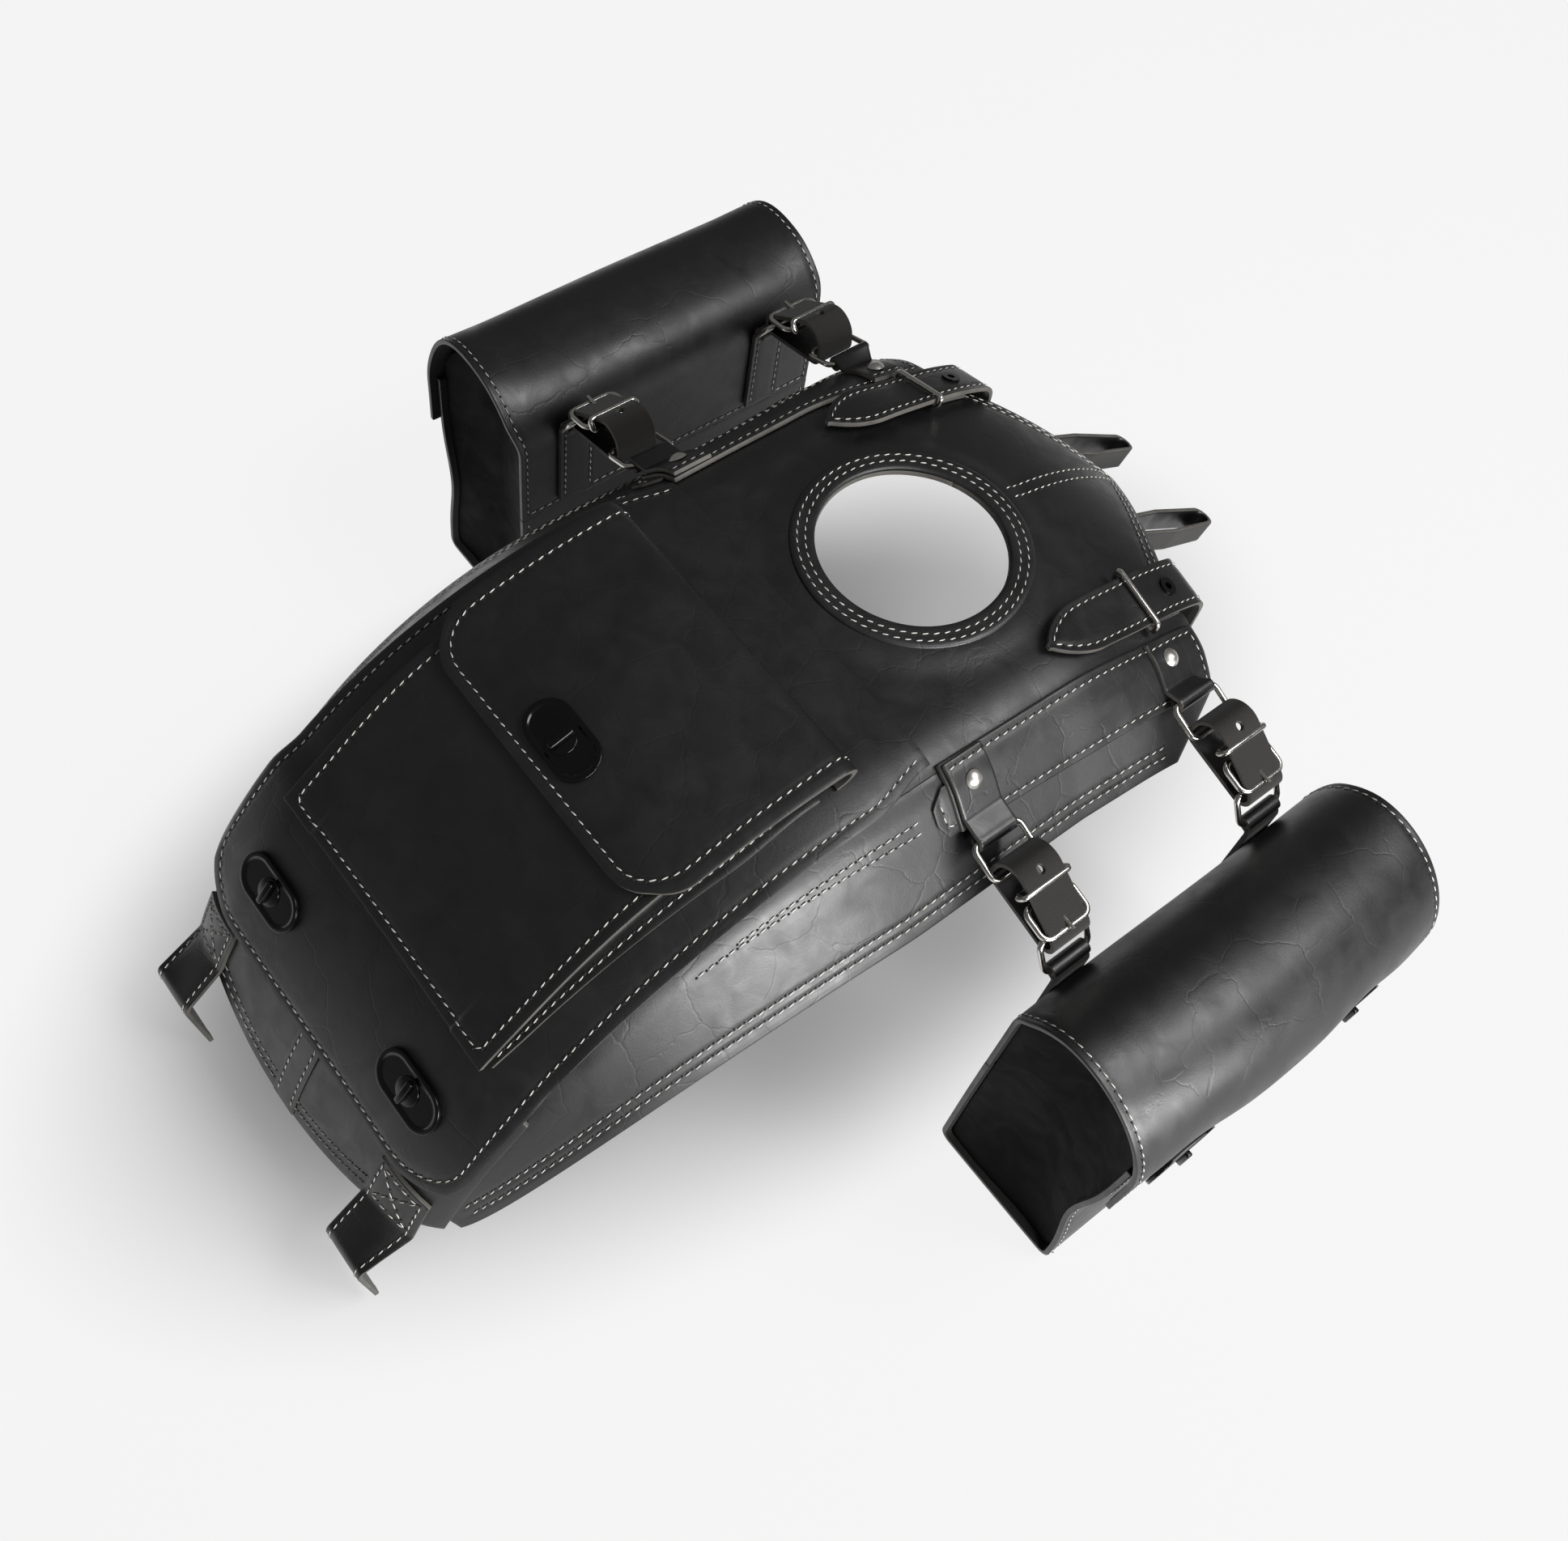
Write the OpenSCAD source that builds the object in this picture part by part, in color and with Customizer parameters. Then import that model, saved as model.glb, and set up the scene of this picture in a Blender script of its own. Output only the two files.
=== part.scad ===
// Leather apron that lies over a rounded top, with a map pocket on its rear flap, a slip pocket at the
// rear and two side bags that hang on straps. Lengths are in millimetres.
// The origin is the centre of the neck opening on the outer face of the top, +Y points to the front edge
// and +Z up. Run is the distance along the crown line from the neck opening, positive to the front, and
// reach is the distance across the surface from the crown line, positive to the right.

/* [Leather] */
// Thickness of the panels and flaps
leather = 3; // [2.4:0.2:3.6]
// Thickness of the straps, tabs and loops
strap_leather = 2.6; // [2:0.2:3]
// Gap between a flap and the panel that it closes on
flap_gap = 1.6; // [1.4:0.2:2.4]
// Gap between sewn layers
seam_gap = 0.3; // [0.2:0.1:0.4]

/* [Apron] */
// Flat run of the top behind the neck opening
top_rear = 118; // [100:2:130]
// Flat run of the top in front of the neck opening
top_front = 40; // [36:1:50]
// Radius of the slope down to the rear edge
rear_radius = 275; // [260:5:300]
// Radius of the slope down to the front edge
front_radius = 185; // [175:5:200]
// Half width of the flat top
flat_half = 82; // [78:1:86]
// Widening of the flat top for each 100 of run to the front
front_spread = 4.5; // [0:0.5:6]
// Drop of the front corners at 100 from the crown line
front_camber = 12; // [8:1:14]
// Narrowing of the flat top at the rear edge
rear_narrow = 10; // [4:1:14]
// Radius of the shoulders
shoulder_radius = 45; // [40:1:50]
// Angle of the side walls from level
side_angle = 50; // [48:1:54]
// Run to the middle of the rear edge
rear_run = 462; // [450:1:466]
// Bow of the rear edge between the side seams
rear_bow = 46; // [40:1:52]
// Run to the point of the front edge
front_run = 182; // [172:1:188]
// Run to the front edge at the shoulders
front_corner_run = 116; // [112:1:118]
// Reach of the seams between the top and the sides
seam_reach = 114; // [112:1:118]
// Reach of the lower side edges
side_reach = 175; // [168:1:182]
// Width of the binding under the front edge
binding_width = 20; // [14:1:26]

/* [Neck opening] */
// Radius of the neck opening
neck_radius = 50; // [42:1:50]
// Width of the collar ring
collar_width = 13; // [9:1:13]
// Height of the collar ring
collar_height = 3; // [2:0.5:4]

/* [Shoulder bands] */
// Reach of the upper edge of a band at its rear end
band_reach = 102; // [98:1:104]
// Outward shift of a band at its front end
band_shift = 4; // [2:1:6]
// Widening of a band at its front end
band_flare = 6; // [0:1:8]
// Width of a band
band_width = 36; // [32:1:40]
// Run of the rear end of a band
band_rear = -73; // [-75:1:-72]
// Run of the front end of a band
band_front = 110; // [106:1:112]
// Radius of a rivet head
rivet_radius = 5; // [4:0.5:6]

/* [Main flap] */
// Run of the hinged front edge of the main flap
flap_front = -76; // [-80:1:-75]
// Run of the rear edge of the main flap
flap_rear = -402; // [-410:1:-396]
// Half width of the main flap
flap_half = 107; // [102:1:109]
// Half width of the main flap at its hinged edge
fold_half = 100; // [94:1:102]
// Corner radius of the main flap
flap_corner = 36; // [24:1:42]
// Run from the rear edge of the main flap to its locks
lock_inset = 38; // [32:1:44]
// Distance of the main locks from the middle
lock_offset = 62; // [50:1:64]

/* [Rear pocket] */
// Run of the open edge of the rear pocket
rear_pocket_front = -330; // [-334:1:-326]
// Width of the divider strip
divider_width = 18; // [12:1:24]
// Thickness of the divider strip
divider_leather = 0.8; // [0.6:0.1:0.9]

/* [Map pocket] */
// Run of the open edge of the map pocket
pocket_front = -150; // [-156:1:-144]
// Run of the bottom edge of the map pocket
pocket_rear = -323; // [-330:1:-316]
// Half width of the map pocket
pocket_half = 83; // [78:1:85]
// Lift of the map pocket's outer face over the apron at its mouth
pocket_lift = 20; // [17:1:23]
// Lift of the map pocket's outer face over the apron at its bottom
pocket_bottom_lift = 13; // [12:0.5:15]
// Run of the hinged crease of the pocket flap
crease_run = -125; // [-128:1:-124]
// Run of the rear edge of the pocket flap
pocket_flap_rear = -226; // [-232:1:-220]
// Half width of the pocket flap
pocket_flap_half = 88; // [86:1:90]
// Corner radius of the pocket flap
pocket_flap_corner = 26; // [18:1:32]
// Run from the rear edge of the pocket flap to its lock
pocket_lock_inset = 20; // [14:1:20]

/* [Locks] */
// Length of an oval lock plate
lock_length = 45; // [40:1:48]
// Width of an oval lock plate
lock_width = 25; // [22:1:26]
// Thickness of an oval lock plate
lock_thickness = 2.4; // [2:0.2:3]
// Radius of the turn knob
knob_radius = 7.5; // [6.5:0.5:8]
// Height of the grip on the turn knob
grip_height = 3.4; // [2:0.2:4]
// Radius of the knob's shaft
shaft_radius = 2; // [1.6:0.1:2]
// Length of the blade under the flap
blade_length = 15; // [14:0.5:16]
// Width of the blade under the flap
blade_width = 4; // [4:0.25:5]
// Thickness of the blade
blade_thickness = 1.2; // [0.8:0.1:1.3]
// Thickness of the strike plate on the body
strike_thickness = 1; // [0.6:0.1:1]
// Running clearance of a turning part
run_gap = 0.05; // [0.03:0.01:0.08]

/* [Side bags] */
// Distance of a bag's back from the middle of the apron
bag_back = 207; // [200:1:215]
// Depth of a bag from its back to the face of its flap
bag_depth = 93; // [85:1:100]
// Distance from the neck opening to the rear end of a bag flap
bag_rear = -101; // [-105:1:-96]
// Length of a bag flap
bag_length = 226; // [218:1:235]
// Height of the crown of a bag flap
bag_crown = -37; // [-40:1:-34]
// Height of the bottom of a bag
bag_bottom = -240; // [-250:1:-225]
// Height of the straight lower edge of a bag flap
skirt_bottom = -122; // [-130:1:-118]
// Height where the skirt of a bag flap turns straight
skirt_top = -90; // [-91:1:-86]
// Overhang of the flap past each end of the bag
bag_overhang = 4; // [3:1:8]
// Fold of the end gussets
gusset_fold = 13; // [6:1:18]
// Distance of the bag locks from the point midway between them
bag_lock_offset = 63; // [50:1:66]
// Shift of the bag locks to the rear of the middle of the bag
bag_lock_shift = 10; // [0:1:12]
// Height of the bag locks over the flap's lower edge
bag_lock_rise = 18; // [16:1:19]

/* [Hangers] */
// Run of the rear hangers
hanger_rear = -60; // [-61:1:-56]
// Run of the front hangers
hanger_front = 80; // [74:1:84]
// Distance of the swing axis from the middle
swing_x = 138; // [138:1:140]
// Height of the swing axis
swing_z = -27; // [-27:1:-24]
// Width of a hanger strap
hanger_width = 24; // [20:1:25]
// Radius of the wire of the rings and frames
wire_radius = 1.6; // [1.4:0.1:1.8]
// Gap between a strap and the wires at its sides
wire_gap = 1.2; // [0.8:0.1:2]
// Length of the upper ring between its bars
ring_length = 20; // [19:1:22]
// Length of the lower ring between its bars
bag_ring_length = 19; // [18:1:22]
// Length of the buckle frame between its bars
buckle_length = 17; // [15:1:18]
// Radius of the buckle prong
prong_radius = 1; // [0.8:0.1:1.2]

/* [Front and rear straps] */
// Distance of the front straps from the middle
front_strap_x = 86; // [83:1:87]
// Width of a front strap
front_strap_width = 28; // [25:1:29]
// Run of the tip of a front strap
front_strap_tip = 13; // [8:1:18]
// Length of the pointed end of a front strap
point_length = 30; // [22:1:36]
// Run of the wire frame on a front strap
frame_run = 80; // [72:1:84]
// Run of the eyelet on a front strap
eyelet_run = 106; // [100:1:108]
// Radius of the bend of a front strap over the front edge
front_bend = 13; // [12:1:16]
// Height of a front strap over the frame's seat
strap_standoff = 2; // [1.8:0.2:2.4]
// Length of a front strap below its bend
front_tail = 55; // [30:1:70]
// Distance of the rear straps from the middle
rear_strap_x = 84; // [80:1:85]
// Width of a rear strap
rear_strap_width = 30; // [26:1:32]
// Distance of the fold of the rear straps behind the rear edge
rear_fold_back = 28; // [24:1:32]
// Drop of the fold of the rear straps below the rear edge
rear_fold_drop = 19; // [15:1:23]
// Length of a rear strap below its fold
rear_tail = 44; // [25:1:50]
// Distance of the front loops from the middle
loop_x = 35; // [30:1:40]
// Length of a front loop
loop_length = 120; // [100:1:124]
// Width of the opening of a front loop
loop_opening = 9; // [6:1:12]
// Height of the leather of a front loop
loop_height = 14; // [10:1:18]

/* [Hidden] */

leather_color = "#1d1d1e";
strap_color = "#161617";
wire_color = "silver";
lock_color = "#0c0c0d";
narrow_from = -180;
narrow_span = 250;
side_curve_from = -110;
hull_fn = 32;
round_fn = 48;
big = 400;
side_wire = 0.85;

// Surface of the apron
shoulder_arc = shoulder_radius * side_angle * PI / 180;
function flat_at(run) = flat_half
    + (run > 0 ? front_spread * run / 100 : 0)
    - (run < narrow_from ? rear_narrow * pow((narrow_from - run) / narrow_span, 2) : 0);
function tilt(run) = 180 / PI * (run > top_front ? (top_front - run) / front_radius
    : run < -top_rear ? (-top_rear - run) / rear_radius : 0);
function crown(run) = run > top_front
    ? [top_front - front_radius * sin(tilt(run)), -front_radius * (1 - cos(tilt(run)))]
    : run < -top_rear
    ? [-top_rear - rear_radius * sin(tilt(run)), -rear_radius * (1 - cos(tilt(run)))]
    : [run, 0];
function bend_at(run, reach) =
    min(max(abs(reach) - flat_at(run), 0) / shoulder_radius * 180 / PI, side_angle);
function section(run, reach) =
    let (flat = flat_at(run),
         bend = bend_at(run, reach),
         wall = max(abs(reach) - flat - shoulder_arc, 0))
    [sign(reach) * (min(abs(reach), flat) + shoulder_radius * sin(bend) + wall * cos(side_angle)),
     shoulder_radius * (1 - cos(bend)) + wall * sin(side_angle)];
camber_from = 10;
camber_span = 70;
camber_out = 95;
camber_fade = 40;
function smooth(part) = let (p = min(max(part, 0), 1)) p * p * (3 - 2 * p);
function camber(run, x) = front_camber * smooth((run - camber_from) / camber_span)
    * pow(x / 100, 2) * (1 - smooth((abs(x) - camber_out) / camber_fade));
function skin(run, reach) =
    let (c = crown(run), s = section(run, reach), lean = tilt(run) / 2)
    [s[0], c[0] + s[1] * sin(lean), c[1] - s[1] * cos(lean) - camber(run, s[0])];
function outward(run, reach) =
    let (step = 0.5,
         across = skin(run, reach + step) - skin(run, reach - step),
         along = skin(run + step, reach) - skin(run - step, reach),
         n = cross(across, along))
    n / norm(n);
function at(run, reach, lift) = skin(run, reach) + lift * outward(run, reach);
function reach_at(run, x) = let (flat = flat_at(run))
    abs(x) <= flat ? x
    : sign(x) * (flat + shoulder_radius * asin((abs(x) - flat) / shoulder_radius) * PI / 180);

// Edges of the apron
front_point_reach = 90;
front_slant = -1.45;
front_slant_from = 145;
front_rise = -0.05;
front_curve = 1.1;
side_curve_in = 1.4;
side_curve_out = 0.7;
function rear_edge(reach) = -rear_run + rear_bow * pow(reach / seam_reach, 2);
function front_edge(reach) = front_corner_run
    + (front_run - front_corner_run) * pow(max(0, 1 - abs(reach) / front_point_reach), front_curve)
    + front_slant * max(0, abs(reach) - front_slant_from);
side_margin = 4;
side_rear = rear_edge(seam_reach) + side_margin;
side_tip = 3;
function lower_reach(run) = run > side_curve_from ? side_reach - front_rise * max(0, run)
    : let (part = min((side_curve_from - run) / (side_curve_from - rear_edge(seam_reach)), 1))
    seam_reach + side_tip
        + (side_reach - seam_reach - side_tip) * pow(1 - pow(part, side_curve_in), side_curve_out);

// Lifts of the layers over the apron
sewn_low = seam_gap;
pocket_top = seam_gap + leather;
fold_span = 24;
step_span = 22;
step_before = 30;
step_from = rear_pocket_front + step_before;
function flap_low(run) = seam_gap + (flap_gap - seam_gap) * smooth((flap_front - run) / fold_span)
    + pocket_top * smooth((step_from - run) / step_span);
function flap_top(run) = flap_low(run) + leather;
function map_top(run) = pocket_bottom_lift
    + (pocket_lift - pocket_bottom_lift) * smooth((run - pocket_rear) / (pocket_flap_rear - pocket_rear));
function pocket_flap_low(run) = map_top(run) + flap_gap;
pocket_flap_top = pocket_lift + flap_gap + leather;

// Closed sheet between two grids of points, rows to the front and columns to the right
module shell(top, base) {
    rows = len(top);
    cols = len(top[0]);
    count = rows * cols;
    points = [for (grid = [top, base]) for (row = grid) for (p = row) p];
    rim = concat(
        [for (j = [0:cols - 1]) j],
        [for (i = [1:rows - 1]) i * cols + cols - 1],
        [for (j = [cols - 2:-1:0]) (rows - 1) * cols + j],
        [for (i = [rows - 2:-1:1]) i * cols]);
    faces = concat(
        [for (i = [0:rows - 2]) for (j = [0:cols - 2]) each let (a = i * cols + j)
            [[a, a + cols, a + cols + 1], [a, a + cols + 1, a + 1]]],
        [for (i = [0:rows - 2]) for (j = [0:cols - 2]) each let (a = count + i * cols + j)
            [[a, a + cols + 1, a + cols], [a, a + 1, a + cols + 1]]],
        [for (k = [0:len(rim) - 1]) each let (a = rim[k], b = rim[(k + 1) % len(rim)])
            [[a, b, b + count], [a, b + count, a + count]]]);
    polyhedron(points, faces);
}
module sheet(grid, low, high) {
    shell([for (row = grid) [for (p = row) at(p[0], p[1], high(p[0]))]],
          [for (row = grid) [for (p = row) at(p[0], p[1], low(p[0]))]]);
}
// Rows of a panel between two runs, with a half width that depends on the run
function panel_grid(runs, half, cols) =
    [for (run = runs) [for (j = [0:cols]) [run, half(run) * (2 * j / cols - 1)]]];
function steps(from, to, count) = [for (i = [0:count]) from + (to - from) * i / count];
// Runs of a flap from its rounded rear corners to its front edge
function flap_runs(rear, corner, front, count) =
    concat([for (a = [0:15:75]) rear + corner * (1 - cos(a))], steps(rear + corner, front, count));
function flap_width(run, rear, corner, half) = run >= rear + corner ? half
    : half - corner + sqrt(max(0, pow(corner, 2) - pow(rear + corner - run, 2)));

// Ribbon of leather along a path in its own plane
function ribbon(path, thick) =
    let (last = len(path) - 1,
         side = [for (i = [0:last]) let (d = path[min(i + 1, last)] - path[max(i - 1, 0)])
             [-d[1], d[0]] / norm(d) * thick / 2])
    concat([for (i = [0:last]) path[i] + side[i]], [for (i = [last:-1:0]) path[i] - side[i]]);
module across_y(y, width) translate([0, y, 0]) rotate([90, 0, 0])
    linear_extrude(width, center = true) children();
module both_sides() {
    children();
    mirror([1, 0, 0]) children();
}
// Wire from one point to another
module wire(a, b, radius) {
    d = b - a;
    translate(a) rotate([0, acos(d[2] / norm(d)), atan2(d[1], d[0])])
        cylinder(r = radius, h = norm(d), $fn = round_fn);
}
// Closed wire frame with two bars, each given by its two ends, and thinner side wires between them
module wire_frame(bars, radius) {
    for (bar = bars) {
        past = radius * (bar[1] - bar[0]) / norm(bar[1] - bar[0]);
        wire(bar[0] - past, bar[1] + past, radius);
    }
    for (end = [0, 1]) wire(bars[0][end], bars[1][end], radius * side_wire);
}
// Bar along Y at a point of the XZ plane
module y_wire(place, y, half, radius)
    wire([place[0], y - half, place[1]], [place[0], y + half, place[1]], radius);
function bar_at(place, y, half) = [for (side = [-1, 1]) [place[0], y + side * half, place[1]]];

// Apron
top_rows = 44;
top_cols = 16;
top_reaches = steps(-seam_reach, seam_reach, top_cols);
// Reaches of the top panel's columns, held within the half width of a layer on it
function layer_reaches(half) = [for (reach = top_reaches) min(max(reach, -half), half)];
top_grid = [for (i = [0:top_rows]) [for (reach = top_reaches)
    [rear_edge(reach) + (front_edge(reach) - rear_edge(reach)) * i / top_rows, reach]]];
module top_panel() color(leather_color) difference() {
    sheet(top_grid, function(run) -leather, function(run) 0);
    cylinder(r = neck_radius, h = big, center = true, $fn = 96);
}
side_rows = 26;
side_cols = 10;
function side_grid() = [for (i = [0:side_rows]) [for (j = [0:side_cols]) let (
        part = j / side_cols,
        front = front_edge(seam_reach + part * (side_reach - seam_reach)),
        run = side_rear + (front - side_rear) * i / side_rows)
    [run, seam_reach + seam_gap + part * (lower_reach(run) - seam_reach - seam_gap)]]];
module side_panel() sheet(side_grid(), function(run) -leather, function(run) 0);
module right_side_panel() color(leather_color) side_panel();
module left_side_panel() color(leather_color) mirror([1, 0, 0]) side_panel();
rear_margin = 2;
pocket_edge_half = seam_reach - rear_margin;
rear_pocket_grid = [for (i = [0:8]) [for (reach = layer_reaches(pocket_edge_half)) let (
        rear = rear_edge(reach) + rear_margin)
    [rear + (rear_pocket_front - rear) * i / 8, reach]]];
module rear_pocket() color(leather_color) difference() {
    sheet(rear_pocket_grid, function(run) sewn_low, function(run) pocket_top);
    both_sides() main_lock_place() strike_hole();
}
divider_rear = -rear_run + rear_margin;
divider_inset = 4;
module pocket_divider() color(strap_color)
    sheet(panel_grid(steps(divider_rear, rear_pocket_front - divider_inset, 8),
            function(run) divider_width / 2, 2),
        function(run) pocket_top + seam_gap, function(run) pocket_top + seam_gap + divider_leather);
module collar_ring() color(leather_color) difference() {
    cylinder(r = neck_radius + collar_width, h = collar_height, $fn = 96);
    cylinder(r = neck_radius, h = big, center = true, $fn = 96);
}
binding_gap = 0.5;
binding_low = -2 * leather - binding_gap;
binding_inset = 4;
binding_half = seam_reach - binding_inset;
binding_grid = [for (i = [0:2]) [for (reach = layer_reaches(binding_half))
    [front_edge(reach) - binding_width * (1 - i / 2), reach]]];
module front_binding() color(strap_color)
    sheet(binding_grid, function(run) binding_low, function(run) -leather - binding_gap);

// Shoulder bands
function band_upper(run) = band_reach + band_shift * (run - band_rear) / (band_front - band_rear);
function band_width_at(run) = band_width + band_flare * (run - band_rear) / (band_front - band_rear);
band_grid = [for (run = steps(band_rear, band_front, 10))
    [for (part = steps(0, 1, 5)) [run, band_upper(run) + part * band_width_at(run)]]];
band_top = seam_gap + leather;
module band() sheet(band_grid, function(run) seam_gap, function(run) band_top);
module right_band() color(leather_color) band();
module left_band() color(leather_color) mirror([1, 0, 0]) band();
tab_top = band_top + seam_gap + strap_leather;
rivet_rise = 13;
tab_start = 4;
tab_end = 29;
sleeve_radius = wire_radius + run_gap + strap_leather;
tab_cols = 4;
sleeve_rise = 0.9;
sleeve_step = 0.2;
function tab_grid(run) = [for (r = steps(run - hanger_width / 2, run + hanger_width / 2, 3))
    [for (j = [0:tab_cols]) [r, band_upper(run) + tab_start + (tab_end - tab_start) * j / tab_cols]]];
sleeve_lap = 2;
function sleeve_grid(run) = [for (side = [-1, 1]) [for (lap = [2 * sleeve_lap, sleeve_lap])
    [run + side * (hanger_width / 2 - sleeve_step), band_upper(run) + tab_end - lap]]];
function hanger_y(run) = crown(run)[0];
// Tab that lies on the band and wraps round the upper bar of a ring
module shoulder_tab(run) difference() {
    union() {
        sheet(tab_grid(run), function(r) band_top + seam_gap, function(r) tab_top);
        hull() {
            sheet(sleeve_grid(run), function(r) band_top + seam_gap + sleeve_rise,
                function(r) tab_top - sleeve_step);
            swing_sleeve(run);
        }
    }
    y_wire([swing_x, swing_z], hanger_y(run), hanger_width, wire_radius + run_gap);
}
module swing_sleeve(run) translate([swing_x, hanger_y(run), swing_z]) rotate([90, 0, 0])
    cylinder(r = sleeve_radius, h = hanger_width - 2 * sleeve_step, center = true, $fn = hull_fn);
hanger_runs = [hanger_rear, hanger_front];
module shoulder_tabs() color(strap_color) both_sides() for (run = hanger_runs) shoulder_tab(run);
rivet_height = 2.4;
dome_radius = 1.25 * rivet_radius;
module on_skin(run, reach, lift) {
    n = outward(run, reach);
    translate(at(run, reach, lift)) rotate([0, acos(n[2]), atan2(n[1], n[0])]) children();
}
module rivet() intersection() {
    translate([0, 0, rivet_height - dome_radius]) sphere(r = dome_radius, $fn = round_fn);
    cylinder(r = rivet_radius, h = rivet_height, $fn = round_fn);
}
module band_rivets() color(wire_color) both_sides() for (run = hanger_runs)
    on_skin(run, band_upper(run) + rivet_rise, tab_top + seam_gap) rivet();

// Front straps
strap_lift = strap_standoff + 2 * wire_radius + 2 * seam_gap + strap_leather / 2;
strap_edges = [for (side = [-1, 1]) front_strap_x + side * front_strap_width / 2];
function strap_edge(run, x) = let (p = skin(run, reach_at(run, x))) [p[1], p[2]];
// Line under the middle of a front strap, its normal in the YZ plane and its slope across
function strap_foot(run) = (strap_edge(run, strap_edges[0]) + strap_edge(run, strap_edges[1])) / 2;
function strap_normal(run) = let (d = strap_foot(run + 1) - strap_foot(run - 1)) [-d[1], d[0]] / norm(d);
function strap_slope(run) =
    (strap_edge(run, strap_edges[1])[1] - strap_edge(run, strap_edges[0])[1]) / front_strap_width;
function beside(run, lift) = strap_foot(run) + lift * strap_normal(run);
bend_past = 6;
bend_run = front_corner_run + bend_past;
bend_center = beside(bend_run, strap_lift - front_bend);
bend_from = atan2(strap_normal(bend_run)[1], strap_normal(bend_run)[0]);
bend_to = 0;
tail_end = bend_center + front_bend * [cos(bend_to), sin(bend_to)]
    + front_tail * [sin(bend_to), -cos(bend_to)];
point_radius = (pow(point_length, 2) + pow(front_strap_width / 2, 2)) / front_strap_width;
tip_half = 1.5;
point_step = 8;
// Half width of a front strap at a distance from its tip
function strap_half(along) = along >= point_length ? front_strap_width / 2
    : max(tip_half, front_strap_width / 2 - point_radius
        + sqrt(pow(point_radius, 2) - pow(point_length - along, 2)));
function front_row(place, normal, half, off, slope) = [for (part = steps(-1, 1, 4))
    concat(front_strap_x + part * half, place + off * normal + [0, part * half * slope])];
function front_rows(off) = concat(
    [for (run = concat(steps(front_strap_tip, front_strap_tip + point_length, 6),
            steps(front_strap_tip + point_length + point_step, bend_run, 8)))
        front_row(beside(run, strap_lift), strap_normal(run), strap_half(run - front_strap_tip), off,
            strap_slope(run))],
    [for (a = steps(bend_from, bend_to, 8))
        front_row(bend_center + front_bend * [cos(a), sin(a)], [cos(a), sin(a)],
            front_strap_width / 2, off, strap_slope(bend_run))],
    [front_row(tail_end, [cos(bend_to), sin(bend_to)], front_strap_width / 2, off, strap_slope(bend_run))]);
module front_strap() difference() {
    shell(front_rows(strap_leather / 2), front_rows(-strap_leather / 2));
    front_strap_hole(eyelet_run);
}
eyelet_bore = 3.2;
eyelet_gap = 0.2;
module on_strap_face(run, lift) {
    n = strap_normal(run);
    translate(concat(front_strap_x, beside(run, lift)))
        rotate([-atan2(n[0], n[1]), -atan(strap_slope(run)), 0]) children();
}
module front_strap_hole(run) on_strap_face(run, strap_lift)
    cylinder(r = eyelet_bore + eyelet_gap, h = 3 * strap_leather, center = true, $fn = round_fn);
module right_front_strap() color(strap_color) front_strap();
module left_front_strap() color(strap_color) mirror([1, 0, 0]) front_strap();
frame_gap = 0.4;
frame_top = strap_lift + strap_leather / 2 + frame_gap + wire_radius;
frame_base = strap_standoff + wire_radius + seam_gap;
frame_half = front_strap_width / 2 + wire_gap + wire_radius;
module front_frame() wire_frame([for (lift = [frame_base, frame_top]) [for (side = [-1, 1])
    concat(front_strap_x + side * frame_half,
        beside(frame_run, lift) + [0, side * frame_half * strap_slope(frame_run)])]], wire_radius);
module front_frames() color(wire_color) both_sides() front_frame();
chape_trim = 2;
chape_half = front_strap_width / 2 - chape_trim;
chape_inset = 6;
chape_start = frame_run + wire_radius + seam_gap;
module front_chapes() color(strap_color) both_sides()
    sheet([for (run = steps(chape_start, front_corner_run - chape_inset, 4))
            [for (x = steps(front_strap_x - chape_half, front_strap_x + chape_half, 6))
                [run, reach_at(run, x)]]],
        function(run) seam_gap, function(run) seam_gap + strap_leather);
eyelet_lip = 0.8;
eyelet_wall = 1;
module front_eyelets() color(lock_color) both_sides()
    on_strap_face(eyelet_run, strap_lift) translate([0, 0, -strap_leather / 2])
    rotate_extrude($fn = round_fn) translate([eyelet_bore - eyelet_wall, 0]) {
        square([eyelet_wall, strap_leather + eyelet_gap + eyelet_lip]);
        translate([0, strap_leather + eyelet_gap]) square([3 * eyelet_wall, eyelet_lip]);
    }
loop_run = front_edge(loop_x) - binding_width;
loop_low = binding_low - seam_gap - pow(binding_width, 2) / (2 * front_radius);
loop_root = 16;
loop_middle = 0.55;
loop_tip = 2;
// Leaf shaped loop in plan, from its sewn root to its tip
module loop_plan(grow) hull() {
    translate([0, loop_root]) circle(r = loop_opening / 4 + grow, $fn = hull_fn);
    translate([0, loop_length * loop_middle]) circle(r = loop_opening / 2 + grow, $fn = hull_fn);
    translate([0, loop_length - strap_leather - loop_tip]) circle(r = loop_tip + grow, $fn = hull_fn);
}
module front_loops() color(strap_color) both_sides()
    translate(at(loop_run, loop_x, loop_low)) rotate([tilt(loop_run), 0, 0])
    translate([0, 0, -loop_height]) linear_extrude(loop_height) difference() {
        loop_plan(strap_leather);
        loop_plan(0);
    }

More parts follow.
